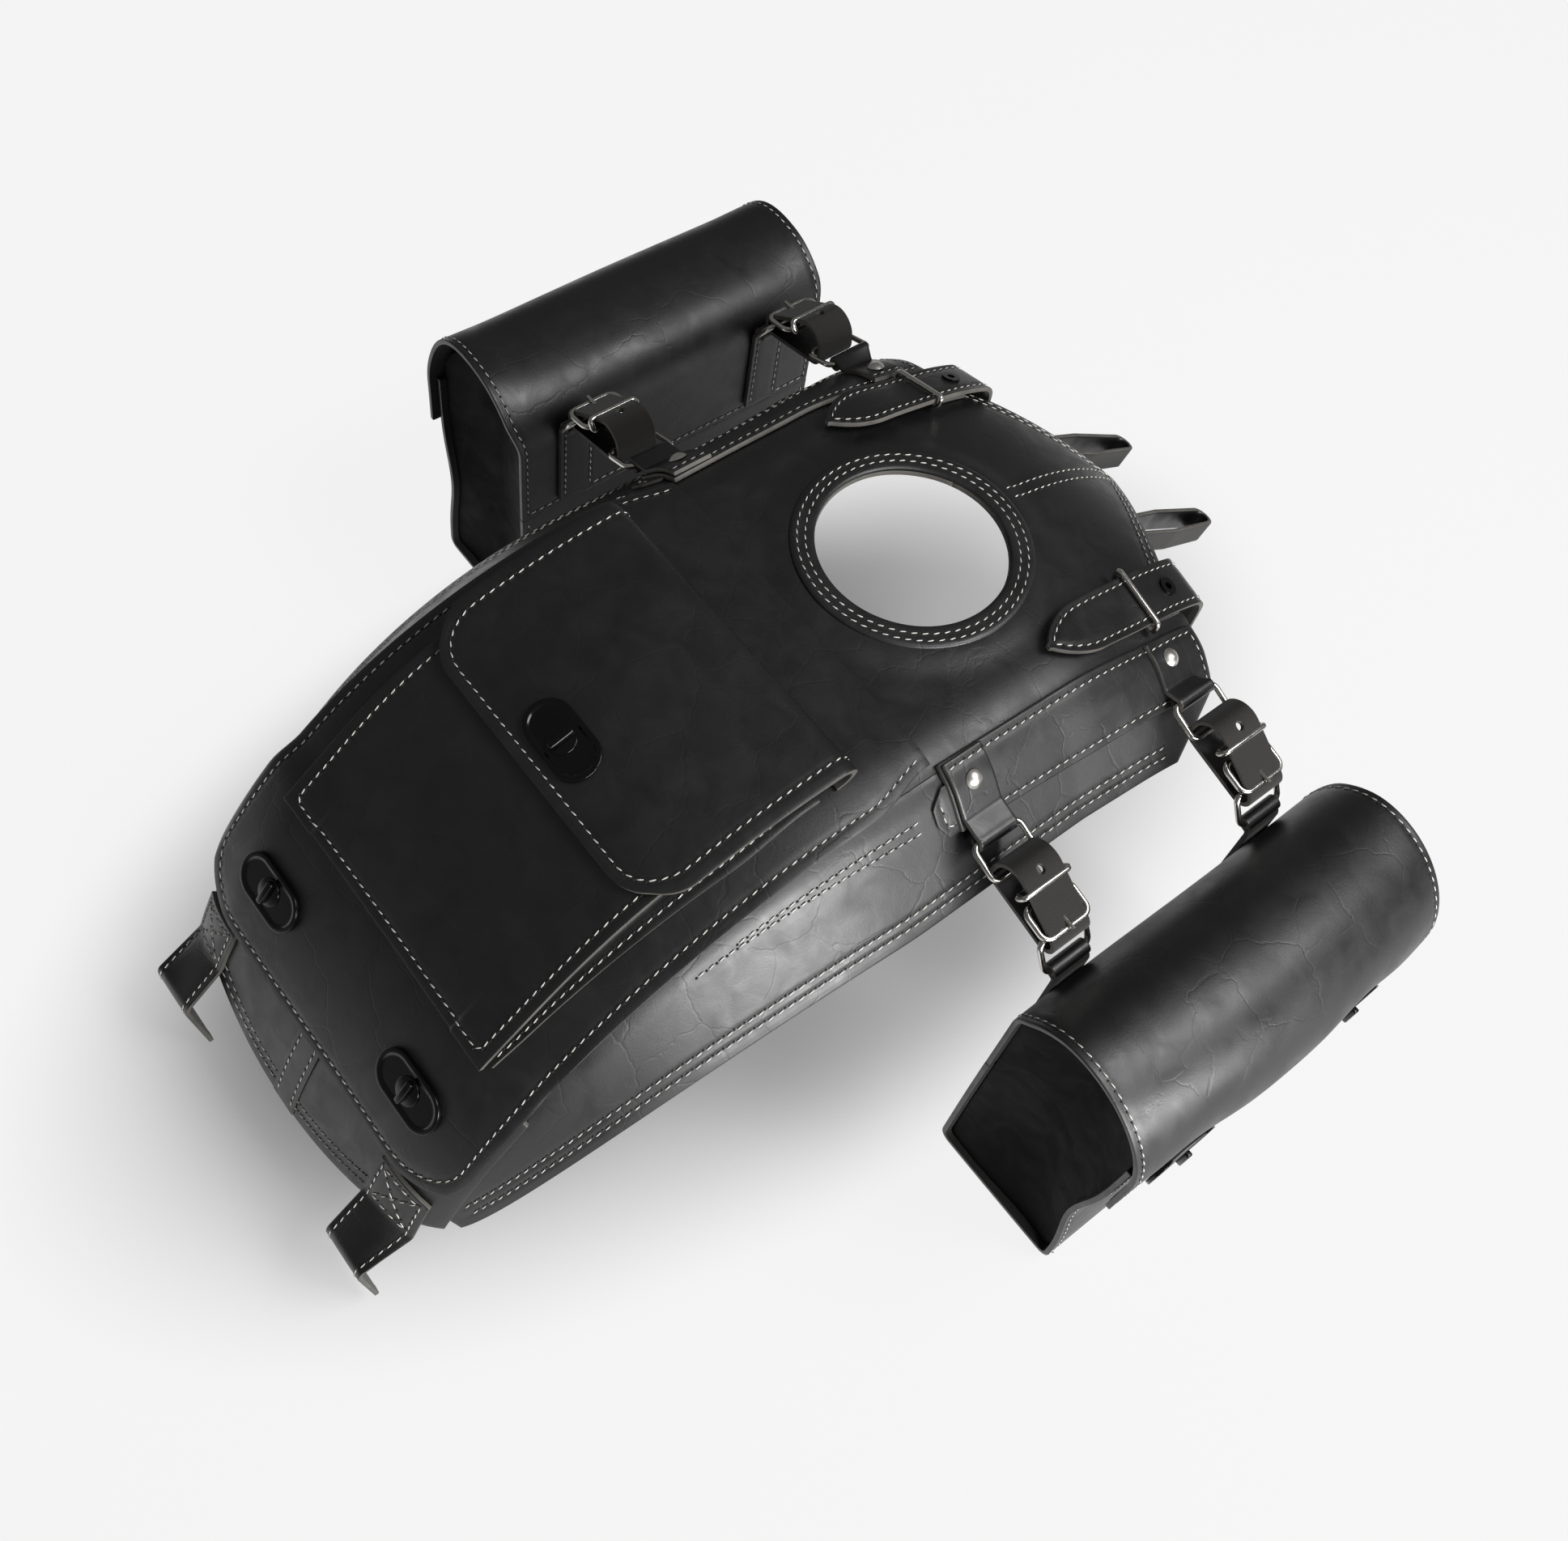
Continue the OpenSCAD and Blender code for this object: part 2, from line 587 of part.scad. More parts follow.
// Rear straps
rear_strap_cols = 6;
rear_strap_low = pocket_top + seam_gap;
rear_strap_gap = 4;
rear_strap_front = flap_rear - rear_strap_gap;
rear_strap_sewn = 28;
function rear_x(j) = rear_strap_x - rear_strap_width / 2 + rear_strap_width * j / rear_strap_cols;
function sewn_row(run, lift) = [for (j = [0:rear_strap_cols]) at(run, reach_at(run, rear_x(j)), lift)];
function free_row(place, angle, off) =
    [for (j = [0:rear_strap_cols]) concat(rear_x(j), place + off * [cos(angle), sin(angle)])];
rear_bend = 9;
rear_turn_from = 146;
rear_turn_to = 186;
rear_corner = skin(rear_edge(rear_strap_x), reach_at(rear_edge(rear_strap_x), rear_strap_x));
rear_center = [rear_corner[1] - rear_fold_back + rear_bend, rear_corner[2] - rear_fold_drop];
function rear_turn(angle) = rear_center + rear_bend * [cos(angle), sin(angle)];
rear_tail_end = rear_turn(rear_turn_to) + rear_tail * [-sin(rear_turn_to), cos(rear_turn_to)];
function rear_side(lift, off) = concat(
    [free_row(rear_tail_end, rear_turn_to, off)],
    [for (a = steps(rear_turn_to, rear_turn_from, 5)) free_row(rear_turn(a), a, off)],
    [for (run = steps(rear_strap_front - rear_strap_sewn, rear_strap_front, 4)) sewn_row(run, lift)]);
module rear_strap() shell(rear_side(rear_strap_low + strap_leather, strap_leather / 2),
    rear_side(rear_strap_low, -strap_leather / 2));
module right_rear_strap() color(strap_color) rear_strap();
module left_rear_strap() color(strap_color) mirror([1, 0, 0]) rear_strap();

// Turn lock at the outer face of its flap, with z out of the flap, x along the plate and y to the hinge
module oval(length, width, height) linear_extrude(height) {
    square([length - width, width], center = true);
    for (side = [-1, 1]) translate([side * (length - width) / 2, 0]) circle(d = width, $fn = 64);
}
rim_width = 2.6;
rim_height = 0.8;
module lock_plate() translate([0, 0, seam_gap]) difference() {
    oval(lock_length, lock_width, lock_thickness);
    translate([0, 0, lock_thickness - rim_height])
        oval(lock_length - 2 * rim_width, lock_width - 2 * rim_width, lock_thickness);
    cylinder(r = knob_radius + run_gap, h = 4 * lock_thickness, center = true, $fn = round_fn);
}
grip_width = 3.6;
knob_height = lock_thickness - rim_height;
blade_base = -leather - flap_gap - seam_gap - blade_thickness;
module knob() {
    translate([0, 0, seam_gap]) cylinder(r = knob_radius, h = knob_height, $fn = round_fn);
    translate([0, 0, seam_gap + knob_height]) intersection() {
        translate([-grip_width / 2, -knob_radius, -seam_gap])
            cube([grip_width, 2 * knob_radius, grip_height + seam_gap]);
        translate([0, 0, grip_height - 2 * knob_radius]) rotate([0, 90, 0])
            cylinder(r = 2 * knob_radius, h = 2 * grip_width, center = true, $fn = 96);
        cylinder(r = knob_radius - seam_gap, h = 4 * grip_height, center = true, $fn = round_fn);
    }
    translate([0, 0, blade_base])
        cylinder(r = shaft_radius, h = seam_gap + knob_height / 2 - blade_base, $fn = round_fn);
    translate([-blade_length / 2, -blade_width / 2, blade_base])
        cube([blade_length, blade_width, blade_thickness]);
}
module shaft_hole() cylinder(r = shaft_radius + run_gap, h = 4 * leather, center = true, $fn = round_fn);
strike_slack = 0.8;
slot_length = blade_length + 2 * strike_slack;
slot_width = blade_width + 2 * strike_slack;
slot_rise = 6;
strike_margin = 5.5;
strike_level = -leather - flap_gap;
strike_radius = blade_length / 2 + strike_margin;
// Round plate with a slot that lets the blade out as its flap swings up
module strike() difference() {
    translate([0, slot_rise / 2, strike_level])
        cylinder(r = strike_radius, h = strike_thickness, $fn = round_fn);
    translate([-slot_length / 2, -slot_width / 2, strike_level - strike_thickness])
        cube([slot_length, slot_width + slot_rise, 3 * strike_thickness]);
}
module strike_hole() translate([0, slot_rise / 2, strike_level - 1.5 * leather])
    cylinder(r = blade_length / 2 + slot_rise / 2 + strike_slack, h = 2 * leather, $fn = round_fn);

// Main flap
lock_run = flap_rear + lock_inset;
module main_lock_place() translate(at(lock_run, lock_offset, flap_top(lock_run)))
    rotate([tilt(lock_run), 0, 0]) children();
module rear_strikes() color(lock_color) both_sides() main_lock_place() strike();
fold_taper = 40;
function main_half(run) = flap_width(run, flap_rear, flap_corner, flap_half)
    - (flap_half - fold_half) * smooth((run - flap_front + fold_taper) / fold_taper);
module main_flap() color(leather_color) difference() {
    sheet(panel_grid(flap_runs(flap_rear, flap_corner, flap_front, 26), function(run) main_half(run), 14),
        function(run) flap_low(run), function(run) flap_top(run));
    both_sides() main_lock_place() shaft_hole();
}
module main_lock_plates() color(lock_color) both_sides() main_lock_place() lock_plate();
module right_main_knob() color(lock_color) main_lock_place() knob();
module left_main_knob() color(lock_color) mirror([1, 0, 0]) main_lock_place() knob();

// Map pocket on the main flap
pocket_rows = 14;
pocket_lock_run = pocket_flap_rear + pocket_lock_inset;
module pocket_lock_place() translate(at(pocket_lock_run, 0, pocket_flap_top))
    rotate([tilt(pocket_lock_run), 0, 0]) children();
module map_pocket() color(leather_color) difference() {
    sheet(panel_grid(steps(pocket_rear, pocket_front, pocket_rows), function(run) pocket_half, 8),
        function(run) map_top(run) - leather, function(run) map_top(run));
    pocket_lock_place() strike_hole();
}
gusset_inset = 1;
gusset_half = pocket_half - gusset_inset;
gusset_rear = pocket_rear + gusset_inset;
module pocket_gusset() color(strap_color) {
    both_sides() pocket_wall(steps(gusset_rear + leather + seam_gap, pocket_front, pocket_rows),
        [gusset_half - leather, gusset_half]);
    pocket_wall([gusset_rear, gusset_rear + leather], steps(-gusset_half, gusset_half, 8));
}
module pocket_wall(runs, reaches) sheet([for (run = runs) [for (reach = reaches) [run, reach]]],
    function(run) flap_top(run) + seam_gap, function(run) map_top(run) - leather - seam_gap);
hood_low = flap_top(crease_run) + seam_gap;
hood_radius = (pocket_flap_top - hood_low) / 2;
// Rolled front end of the map pocket
module pocket_hood() color(leather_color)
    translate(at(crease_run, 0, hood_low + hood_radius)) rotate([0, 90, 0]) difference() {
        cylinder(r = hood_radius, h = 2 * pocket_flap_half, center = true, $fn = round_fn);
        cylinder(r = hood_radius - leather, h = 3 * pocket_flap_half, center = true, $fn = round_fn);
        translate([-hood_radius - leather, -2 * hood_radius, -2 * pocket_flap_half])
            cube([2 * hood_radius + 2 * leather, 2 * hood_radius, 4 * pocket_flap_half]);
    }
module pocket_strike() color(lock_color) pocket_lock_place() strike();
module pocket_flap() color(leather_color) difference() {
    sheet(panel_grid(flap_runs(pocket_flap_rear, pocket_flap_corner, crease_run - seam_gap, 8),
            function(run) flap_width(run, pocket_flap_rear, pocket_flap_corner, pocket_flap_half), 8),
        function(run) pocket_flap_low(run), function(run) pocket_flap_low(run) + leather);
    pocket_lock_place() shaft_hole();
}
module pocket_lock_plate() color(lock_color) pocket_lock_place() lock_plate();
module pocket_knob() color(lock_color) pocket_lock_place() knob();

// Side bags, drawn for the right side
arch_radius = 38;
arch_x = bag_back + arch_radius;
arch_z = bag_crown - arch_radius;
bag_face = bag_back + bag_depth;
crease_angle = 140;
// Point on the arch of a bag flap at an angle from level, inside its outer face by an inset
function arch(angle, inset) = angle > 90
    ? [arch_x, arch_z] + (arch_radius - inset) * [cos(angle), sin(angle)]
    : [arch_x, skirt_top]
        + [(bag_face - arch_x - inset) * cos(angle), (bag_crown - skirt_top - inset) * sin(angle)];
half_leather = leather / 2;
bag_middle = bag_rear + bag_length / 2;
flap_path = concat([[bag_face - half_leather, skirt_bottom]],
    [for (a = steps(0, crease_angle, 20)) arch(a, half_leather)]);
bag_locks = [for (side = [-1, 1]) bag_middle - bag_lock_shift + side * bag_lock_offset];
bag_lock_z = skirt_bottom + bag_lock_rise;
module bag_lock_place(y) translate([bag_face, y, bag_lock_z]) rotate([90, 0, 90]) children();
module bag_flap() difference() {
    across_y(bag_middle, bag_length) polygon(ribbon(flap_path, leather));
    for (y = bag_locks) bag_lock_place(y) shaft_hole();
}
module bag_lock_plates() for (y = bag_locks) bag_lock_place(y) lock_plate();
panel_face = bag_face - leather - flap_gap;
panel_margin = 2;
panel_top = bag_lock_z + slot_rise / 2 + strike_radius + panel_margin;
bag_corner = 7;
crease_gap = 0.6;
function corner(x, z, radius, from, to) = [for (a = steps(from, to, 5)) [x, z] + radius * [cos(a), sin(a)]];
wrap_path = concat(
    [for (a = steps(crease_angle + crease_gap, 180, 6)) arch(a, half_leather)],
    corner(bag_back + bag_corner, bag_bottom + bag_corner, bag_corner - half_leather, 180, 270),
    corner(panel_face - bag_corner, bag_bottom + bag_corner, bag_corner - half_leather, 270, 360),
    [[panel_face - half_leather, panel_top]]);
wrap_length = bag_length - 2 * bag_overhang;
module bag_wrap() difference() {
    across_y(bag_middle, wrap_length) polygon(ribbon(wrap_path, leather));
    for (y = bag_locks) bag_lock_place(y) strike_hole();
}
inner_back = bag_back + leather + seam_gap;
inner_face = panel_face - leather - seam_gap;
inner_corner = bag_corner - leather - seam_gap;
inner_bottom = bag_bottom + leather + seam_gap;
gusset_outline = concat(
    corner(inner_back + inner_corner, inner_bottom + inner_corner, inner_corner, 180, 270),
    corner(inner_face - inner_corner, inner_bottom + inner_corner, inner_corner, 270, 360),
    [for (a = steps(0, 180, 24)) let (p = arch(a, leather + flap_gap))
        [min(max(p[0], inner_back), inner_face), p[1]]]);
gusset_set_in = 4;
gusset_y = wrap_length / 2 - gusset_set_in;
gusset_path = [[inner_back - leather, -gusset_y], [(inner_back + inner_face) / 2, -gusset_y + gusset_fold],
    [inner_face + leather, -gusset_y]];
module bag_gussets() intersection() {
    across_y(bag_middle, wrap_length) polygon(gusset_outline);
    for (turn = [0, 1]) translate([0, bag_middle, 0]) mirror([0, turn, 0])
        linear_extrude(2 * big, center = true) polygon(ribbon(gusset_path, leather));
}
module bag_strikes() for (y = bag_locks) bag_lock_place(y) strike();

// Hangers, drawn for the right side in the XZ plane
ring_fall = 20;
bag_ring_rise = 123;
tab_level = -58;
bar_slack = 0.45;
ring_low = [swing_x, swing_z] + ring_length * [cos(ring_fall), -sin(ring_fall)];
tab_bar = [bag_back - seam_gap - strap_leather / 2 - sleeve_radius, tab_level];
bag_bar = tab_bar + bag_ring_length * [cos(bag_ring_rise), sin(bag_ring_rise)];
end_radius = wire_radius + bar_slack + strap_leather;
bulge_radius = 10;
bulge_shift = [6, 4];
bulge = ring_low + bulge_shift;
bulge_span = bag_bar - bulge;
strap_turn = asin((bulge_radius - end_radius) / norm(bulge_span));
strap_fall = atan2(bulge_span[1], bulge_span[0]) - strap_turn;
strap_along = [cos(strap_fall), sin(strap_fall)];
strap_out = [-sin(strap_fall), cos(strap_fall)];
// Point on the straight part of a hanger strap, from the end of its bulge and out of its middle layer
function on_strap(along, out) =
    bulge + (bulge_radius - strap_leather / 2 + out) * strap_out + along * strap_along;
keeper_along = 5;
heel_along = 12;
bar_out = strap_leather / 2 + seam_gap + wire_radius;
heel = on_strap(heel_along, -bar_out);
front_bar = on_strap(heel_along + buckle_length, bar_out);
wire_half = hanger_width / 2 + wire_gap + wire_radius;
hanger_ys = [for (run = hanger_runs) hanger_y(run)];
module rings() for (y = hanger_ys) {
    wire_frame([bar_at([swing_x, swing_z], y, wire_half), bar_at(ring_low, y, wire_half)], wire_radius);
    wire_frame([bar_at(bag_bar, y, wire_half), bar_at(tab_bar, y, wire_half)], wire_radius);
}
module strap_loop(inset) hull() {
    translate(ring_low) circle(r = end_radius - inset, $fn = hull_fn);
    translate(bulge) circle(r = bulge_radius - inset, $fn = hull_fn);
    translate(bag_bar) circle(r = end_radius - inset, $fn = hull_fn);
}
prong_width = 4;
slot_before = 3.5;
slot_after = 12;
prong_wall = 0.9;
module hanger_straps() difference() {
    for (y = hanger_ys) across_y(y, hanger_width) difference() {
        strap_loop(0);
        strap_loop(strap_leather);
    }
    for (y = hanger_ys) across_y(y, prong_width + 2 * seam_gap) polygon([
        on_strap(heel_along - slot_before, -strap_leather), on_strap(heel_along + slot_after, -strap_leather),
        on_strap(heel_along + slot_after, strap_leather), on_strap(heel_along - slot_before, strap_leather)]);
}
module buckles() for (y = hanger_ys) {
    wire_frame([bar_at(heel, y, wire_half), bar_at(front_bar, y, wire_half)], wire_radius);
    wire_frame([for (out = [-bar_out, bar_out]) bar_at(on_strap(keeper_along, out), y, wire_half)],
        wire_radius);
}
prong_past = 2.4;
bar_span = front_bar - heel;
prong_rise = atan2(bar_span[1], bar_span[0]) + asin((wire_radius + prong_radius + run_gap) / norm(bar_span));
prong_length = norm(bar_span) + prong_past;
prong_tip = heel + prong_length * [cos(prong_rise), sin(prong_rise)];
module prong(y) difference() {
    union() {
        y_wire(heel, y, prong_width / 2, wire_radius + run_gap + prong_wall);
        wire([heel[0], y, heel[1]], [prong_tip[0], y, prong_tip[1]], prong_radius);
    }
    y_wire(heel, y, prong_width, wire_radius + run_gap);
}
// Tab sewn to a bag's back, with a sleeve round the lower bar of its ring
tab_tail = 64;
module bag_tabs() for (y = hanger_ys) difference() {
    union() {
        translate([bag_back - seam_gap - strap_leather, y - hanger_width / 2, tab_level - tab_tail])
            cube([strap_leather, hanger_width, tab_tail]);
        y_wire(tab_bar, y, hanger_width / 2, sleeve_radius);
    }
    y_wire(tab_bar, y, hanger_width, wire_radius + run_gap);
}
module right_bag_wrap() color(leather_color) bag_wrap();
module right_bag_gussets() color(strap_color) bag_gussets();
module right_bag_strikes() color(lock_color) bag_strikes();
module right_bag_tabs() color(strap_color) bag_tabs();
module right_rings() color(wire_color) rings();
module right_hanger_straps() color(strap_color) hanger_straps();
module right_buckles() color(wire_color) buckles();
module right_rear_prong() color(wire_color) prong(hanger_ys[0]);
module right_front_prong() color(wire_color) prong(hanger_ys[1]);
module right_bag_flap() color(leather_color) bag_flap();
module right_bag_lock_plates() color(lock_color) bag_lock_plates();
module right_bag_rear_knob() color(lock_color) bag_lock_place(bag_locks[0]) knob();
module right_bag_front_knob() color(lock_color) bag_lock_place(bag_locks[1]) knob();
module left_bag_wrap() color(leather_color) mirror([1, 0, 0]) bag_wrap();
module left_bag_gussets() color(strap_color) mirror([1, 0, 0]) bag_gussets();
module left_bag_strikes() color(lock_color) mirror([1, 0, 0]) bag_strikes();
module left_bag_tabs() color(strap_color) mirror([1, 0, 0]) bag_tabs();
module left_rings() color(wire_color) mirror([1, 0, 0]) rings();
module left_hanger_straps() color(strap_color) mirror([1, 0, 0]) hanger_straps();
module left_buckles() color(wire_color) mirror([1, 0, 0]) buckles();
module left_rear_prong() color(wire_color) mirror([1, 0, 0]) prong(hanger_ys[0]);
module left_front_prong() color(wire_color) mirror([1, 0, 0]) prong(hanger_ys[1]);
module left_bag_flap() color(leather_color) mirror([1, 0, 0]) bag_flap();
module left_bag_lock_plates() color(lock_color) mirror([1, 0, 0]) bag_lock_plates();
module left_bag_rear_knob() color(lock_color) mirror([1, 0, 0]) bag_lock_place(bag_locks[0]) knob();
module left_bag_front_knob() color(lock_color) mirror([1, 0, 0]) bag_lock_place(bag_locks[1]) knob();

top_panel();
right_side_panel();
left_side_panel();
rear_pocket();
pocket_divider();
collar_ring();
front_binding();
right_band();
left_band();
shoulder_tabs();
band_rivets();
right_front_strap();
left_front_strap();
front_frames();
front_chapes();
front_eyelets();
front_loops();
right_rear_strap();
left_rear_strap();
rear_strikes();
main_flap();
map_pocket();
pocket_gusset();
pocket_hood();
main_lock_plates();
pocket_strike();
pocket_flap();
pocket_lock_plate();
pocket_knob();
right_main_knob();
left_main_knob();
right_bag_wrap();
right_bag_gussets();
right_bag_strikes();
right_bag_tabs();
right_rings();
right_hanger_straps();
right_buckles();
right_rear_prong();
right_front_prong();
right_bag_flap();
right_bag_lock_plates();
right_bag_rear_knob();
right_bag_front_knob();
left_bag_wrap();
left_bag_gussets();
left_bag_strikes();
left_bag_tabs();
left_rings();
left_hanger_straps();
left_buckles();
left_rear_prong();
left_front_prong();
left_bag_flap();
left_bag_lock_plates();
left_bag_rear_knob();
left_bag_front_knob();
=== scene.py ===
import math

import bmesh
import bpy
import numpy as np
from mathutils import Matrix, Vector


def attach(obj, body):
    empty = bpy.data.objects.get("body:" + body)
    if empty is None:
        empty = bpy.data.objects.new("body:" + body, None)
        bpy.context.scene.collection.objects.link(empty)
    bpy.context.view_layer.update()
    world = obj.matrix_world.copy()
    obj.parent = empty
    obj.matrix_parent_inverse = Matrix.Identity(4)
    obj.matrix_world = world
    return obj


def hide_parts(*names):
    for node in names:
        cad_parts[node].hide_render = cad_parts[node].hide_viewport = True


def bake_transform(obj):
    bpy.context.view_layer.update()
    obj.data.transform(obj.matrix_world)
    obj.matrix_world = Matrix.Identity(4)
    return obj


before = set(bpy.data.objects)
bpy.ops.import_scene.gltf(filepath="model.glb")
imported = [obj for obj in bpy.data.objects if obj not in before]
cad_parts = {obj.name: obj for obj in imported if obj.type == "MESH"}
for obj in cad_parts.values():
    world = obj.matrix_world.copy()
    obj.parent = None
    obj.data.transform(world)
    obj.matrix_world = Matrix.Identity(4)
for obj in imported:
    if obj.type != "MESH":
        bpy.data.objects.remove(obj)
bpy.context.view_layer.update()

# Lengths are in millimetres until a mesh is written. Run is the distance along the crown line of the apron,
# positive to the front, and reach the distance across its surface, positive to the right.
MM = 0.001
PITCH = 5.6
PANEL, STRAP = 3.0, 2.6
SEAM, FLAP_GAP = 0.3, 1.6
RIM = (0, 1.1, 2.4, 3.8, 5.2, 6.6, 8.4)
LOCK_HOLE, STRIKE_HOLE, STRIKE_UP = 2.4, 11.3, 3
SIDES = (("right", 1), ("left", -1))

TOP_REAR, TOP_FRONT = 118, 40
REAR_RADIUS, FRONT_RADIUS = 275, 185
FLAT_HALF, FRONT_SPREAD, FRONT_CAMBER = 82, 4.5, 12
REAR_NARROW, NARROW_FROM, NARROW_SPAN = 10, -180, 250
SHOULDER, SIDE_ANGLE = 45, math.radians(50)
CAMBER_FROM, CAMBER_SPAN, CAMBER_OUT, CAMBER_FADE = 10, 70, 95, 40
REAR_RUN, REAR_BOW, FRONT_RUN, FRONT_CORNER = 462, 46, 182, 116
POINT_REACH, POINT_POWER, TRIM_FROM, TRIM_SLOPE = 90, 1.1, 145, 1.45
SEAM_REACH, SIDE_REACH, SIDE_FROM = 114, 175, 105
SIDE_TURN, SIDE_GROWTH, TAIL_RISE, TAIL_FALL = -110, 0.05, 1.4, 0.7
NECK, NECK_RISE, RISE_FROM, RISE_SPAN = 50, 2.4, 80, 17


def smooth(part):
    p = np.clip(part, 0, 1)
    return p * p * (3 - 2 * p)


def both(a, b):
    """Two coordinates as arrays of one shape."""
    return np.broadcast_arrays(np.asarray(a, float), np.asarray(b, float))


def pairs(a, b):
    """Pairs of coordinates, in the shape that both have in common."""
    return np.stack(both(a, b), -1)


def grid(a, b):
    """Pairs of coordinates, with a row for each of the first and a column for each of the second."""
    return pairs(np.asarray(a)[:, None], b)


def spread(start, end, step):
    """Even values from start to end, about a step apart."""
    return np.linspace(start, end, max(2, int(round(abs(end - start) / step)) + 1))


def unit(v):
    return v / np.maximum(np.linalg.norm(v, axis=-1, keepdims=True), 1e-9)


def polar(angle, radius=1.0):
    return radius * np.array([math.cos(angle), math.sin(angle)])


def lengths(points):
    """Distance along a line of points, at each of them."""
    return np.concatenate([[0], np.cumsum(np.linalg.norm(np.diff(points, axis=0), axis=1))])


def flat_at(run):
    narrow = REAR_NARROW * (np.maximum(NARROW_FROM - run, 0) / NARROW_SPAN) ** 2
    return FLAT_HALF + FRONT_SPREAD * np.maximum(run, 0) / 100 - narrow


def tilt(run):
    return -np.maximum(run - TOP_FRONT, 0) / FRONT_RADIUS + np.maximum(-TOP_REAR - run, 0) / REAR_RADIUS


def axes(run):
    """Directions out of the crown line and forward along it."""
    lean = float(tilt(run))
    return np.array([0, -math.sin(lean), math.cos(lean)]), np.array([0, math.cos(lean), math.sin(lean)])


def skin(run, reach):
    """Point on the outer face of the apron."""
    run, reach = both(run, reach)
    lean = tilt(run)
    radius = np.where(lean < 0, FRONT_RADIUS, REAR_RADIUS)
    y = np.clip(run, -TOP_REAR, TOP_FRONT) - radius * np.sin(lean)
    z = -radius * (1 - np.cos(lean))
    flat = flat_at(run)
    over = np.maximum(np.abs(reach) - flat, 0)
    bend = np.minimum(over / SHOULDER, SIDE_ANGLE)
    wall = np.maximum(over - SHOULDER * SIDE_ANGLE, 0)
    x = np.sign(reach) * (np.minimum(np.abs(reach), flat) + SHOULDER * np.sin(bend) + wall * math.cos(SIDE_ANGLE))
    drop = SHOULDER * (1 - np.cos(bend)) + wall * math.sin(SIDE_ANGLE)
    camber = FRONT_CAMBER * smooth((run - CAMBER_FROM) / CAMBER_SPAN) * (x / 100) ** 2
    camber = camber * (1 - smooth((np.abs(x) - CAMBER_OUT) / CAMBER_FADE))
    return np.stack([x, y + drop * np.sin(lean / 2), z - drop * np.cos(lean / 2) - camber], -1)


def wave(p):
    """Slow unevenness of hand cut leather, out of its face."""
    x, y, z = p[..., 0], p[..., 1], p[..., 2]
    slow = np.sin(x / 23 + y / 41) + np.sin(y / 29 - x / 47 + 1.7) + np.sin((z + x) / 37 + 0.6)
    return 0.25 * slow[..., None]


def face_normal(place, a, b, step=0.4):
    """Outward normal of a surface whose second coordinate runs to the right of its first."""
    across = place(a, b + step) - place(a, b - step)
    along = place(a + step, b) - place(a - step, b)
    return unit(np.cross(across, along))


def at(run, reach, lift):
    """Point at a height over the apron."""
    run, reach = both(run, reach)
    return skin(run, reach) + np.asarray(lift)[..., None] * face_normal(skin, run, reach)


def on_skin(lift):
    """Surface at an even height over the apron."""
    return lambda run, reach: at(run, reach, lift)


def reach_at(run, x):
    flat = flat_at(run)
    over = np.clip((np.abs(x) - flat) / SHOULDER, 0, 1)
    return np.where(np.abs(x) <= flat, x, np.sign(x) * (flat + SHOULDER * np.arcsin(over)))


def rear_edge(reach):
    return -REAR_RUN + REAR_BOW * (reach / SEAM_REACH) ** 2


def front_edge(reach):
    point = np.maximum(0, 1 - np.abs(reach) / POINT_REACH) ** POINT_POWER
    trim = TRIM_SLOPE * np.maximum(0, np.abs(reach) - TRIM_FROM)
    return FRONT_CORNER + (FRONT_RUN - FRONT_CORNER) * point - trim


def lower_reach(run):
    """Lower edge of a side panel, which tapers to the rear."""
    part = np.clip((SIDE_TURN - run) / (SIDE_TURN - rear_edge(SEAM_REACH)), 0, 1)
    tip = SEAM_REACH + 3
    taper = tip + (SIDE_REACH - tip) * (1 - part ** TAIL_RISE) ** TAIL_FALL
    return np.where(run > SIDE_TURN, SIDE_REACH + SIDE_GROWTH * np.maximum(0, run), taper)


# Layers over the apron
POCKET_TOP = SEAM + PANEL
FLAP_FRONT, FLAP_REAR, FLAP_HALF, FOLD_HALF, FLAP_CORNER = -76, -402, 107, 100, 36
REAR_POCKET_FRONT = -330
MAP_FRONT, MAP_REAR, MAP_HALF, TOE_HIGH, MAP_RISE = -150, -323, 83, 13, 7
CREASE, HOOD_REAR, HOOD_HALF, HOOD_CORNER = -125, -226, 88, 26


def flap_low(run):
    """Underside of the main flap, which steps up over the rear pocket."""
    step = smooth((REAR_POCKET_FRONT + 30 - run) / 22)
    return SEAM + (FLAP_GAP - SEAM) * smooth((FLAP_FRONT - run) / 24) + POCKET_TOP * step


def flap_top(run):
    return flap_low(run) + PANEL


def map_top(run):
    return TOE_HIGH + MAP_RISE * smooth((run - MAP_REAR) / (HOOD_REAR - MAP_REAR))


def cover_top(run):
    return map_top(run) + FLAP_GAP + PANEL


def flap_width(run, rear, corner, half):
    inside = np.maximum(0, corner ** 2 - np.maximum(rear + corner - run, 0) ** 2)
    return half - corner + np.sqrt(inside)


def rounded_outline(front, rear, half, corner, inset):
    """Line inside the sides and rear of a flap with rounded rear corners, from its front right to its front left."""
    half, corner, rear = half - inset, corner - inset, rear + inset
    angles = np.linspace(0, math.pi / 2, 13)
    turn = pairs(rear + corner - corner * np.sin(angles), half - corner + corner * np.cos(angles))
    line = np.concatenate([pairs(spread(front, rear + corner, 6), half), turn])
    return np.concatenate([line, (line * [1, -1])[::-1]])


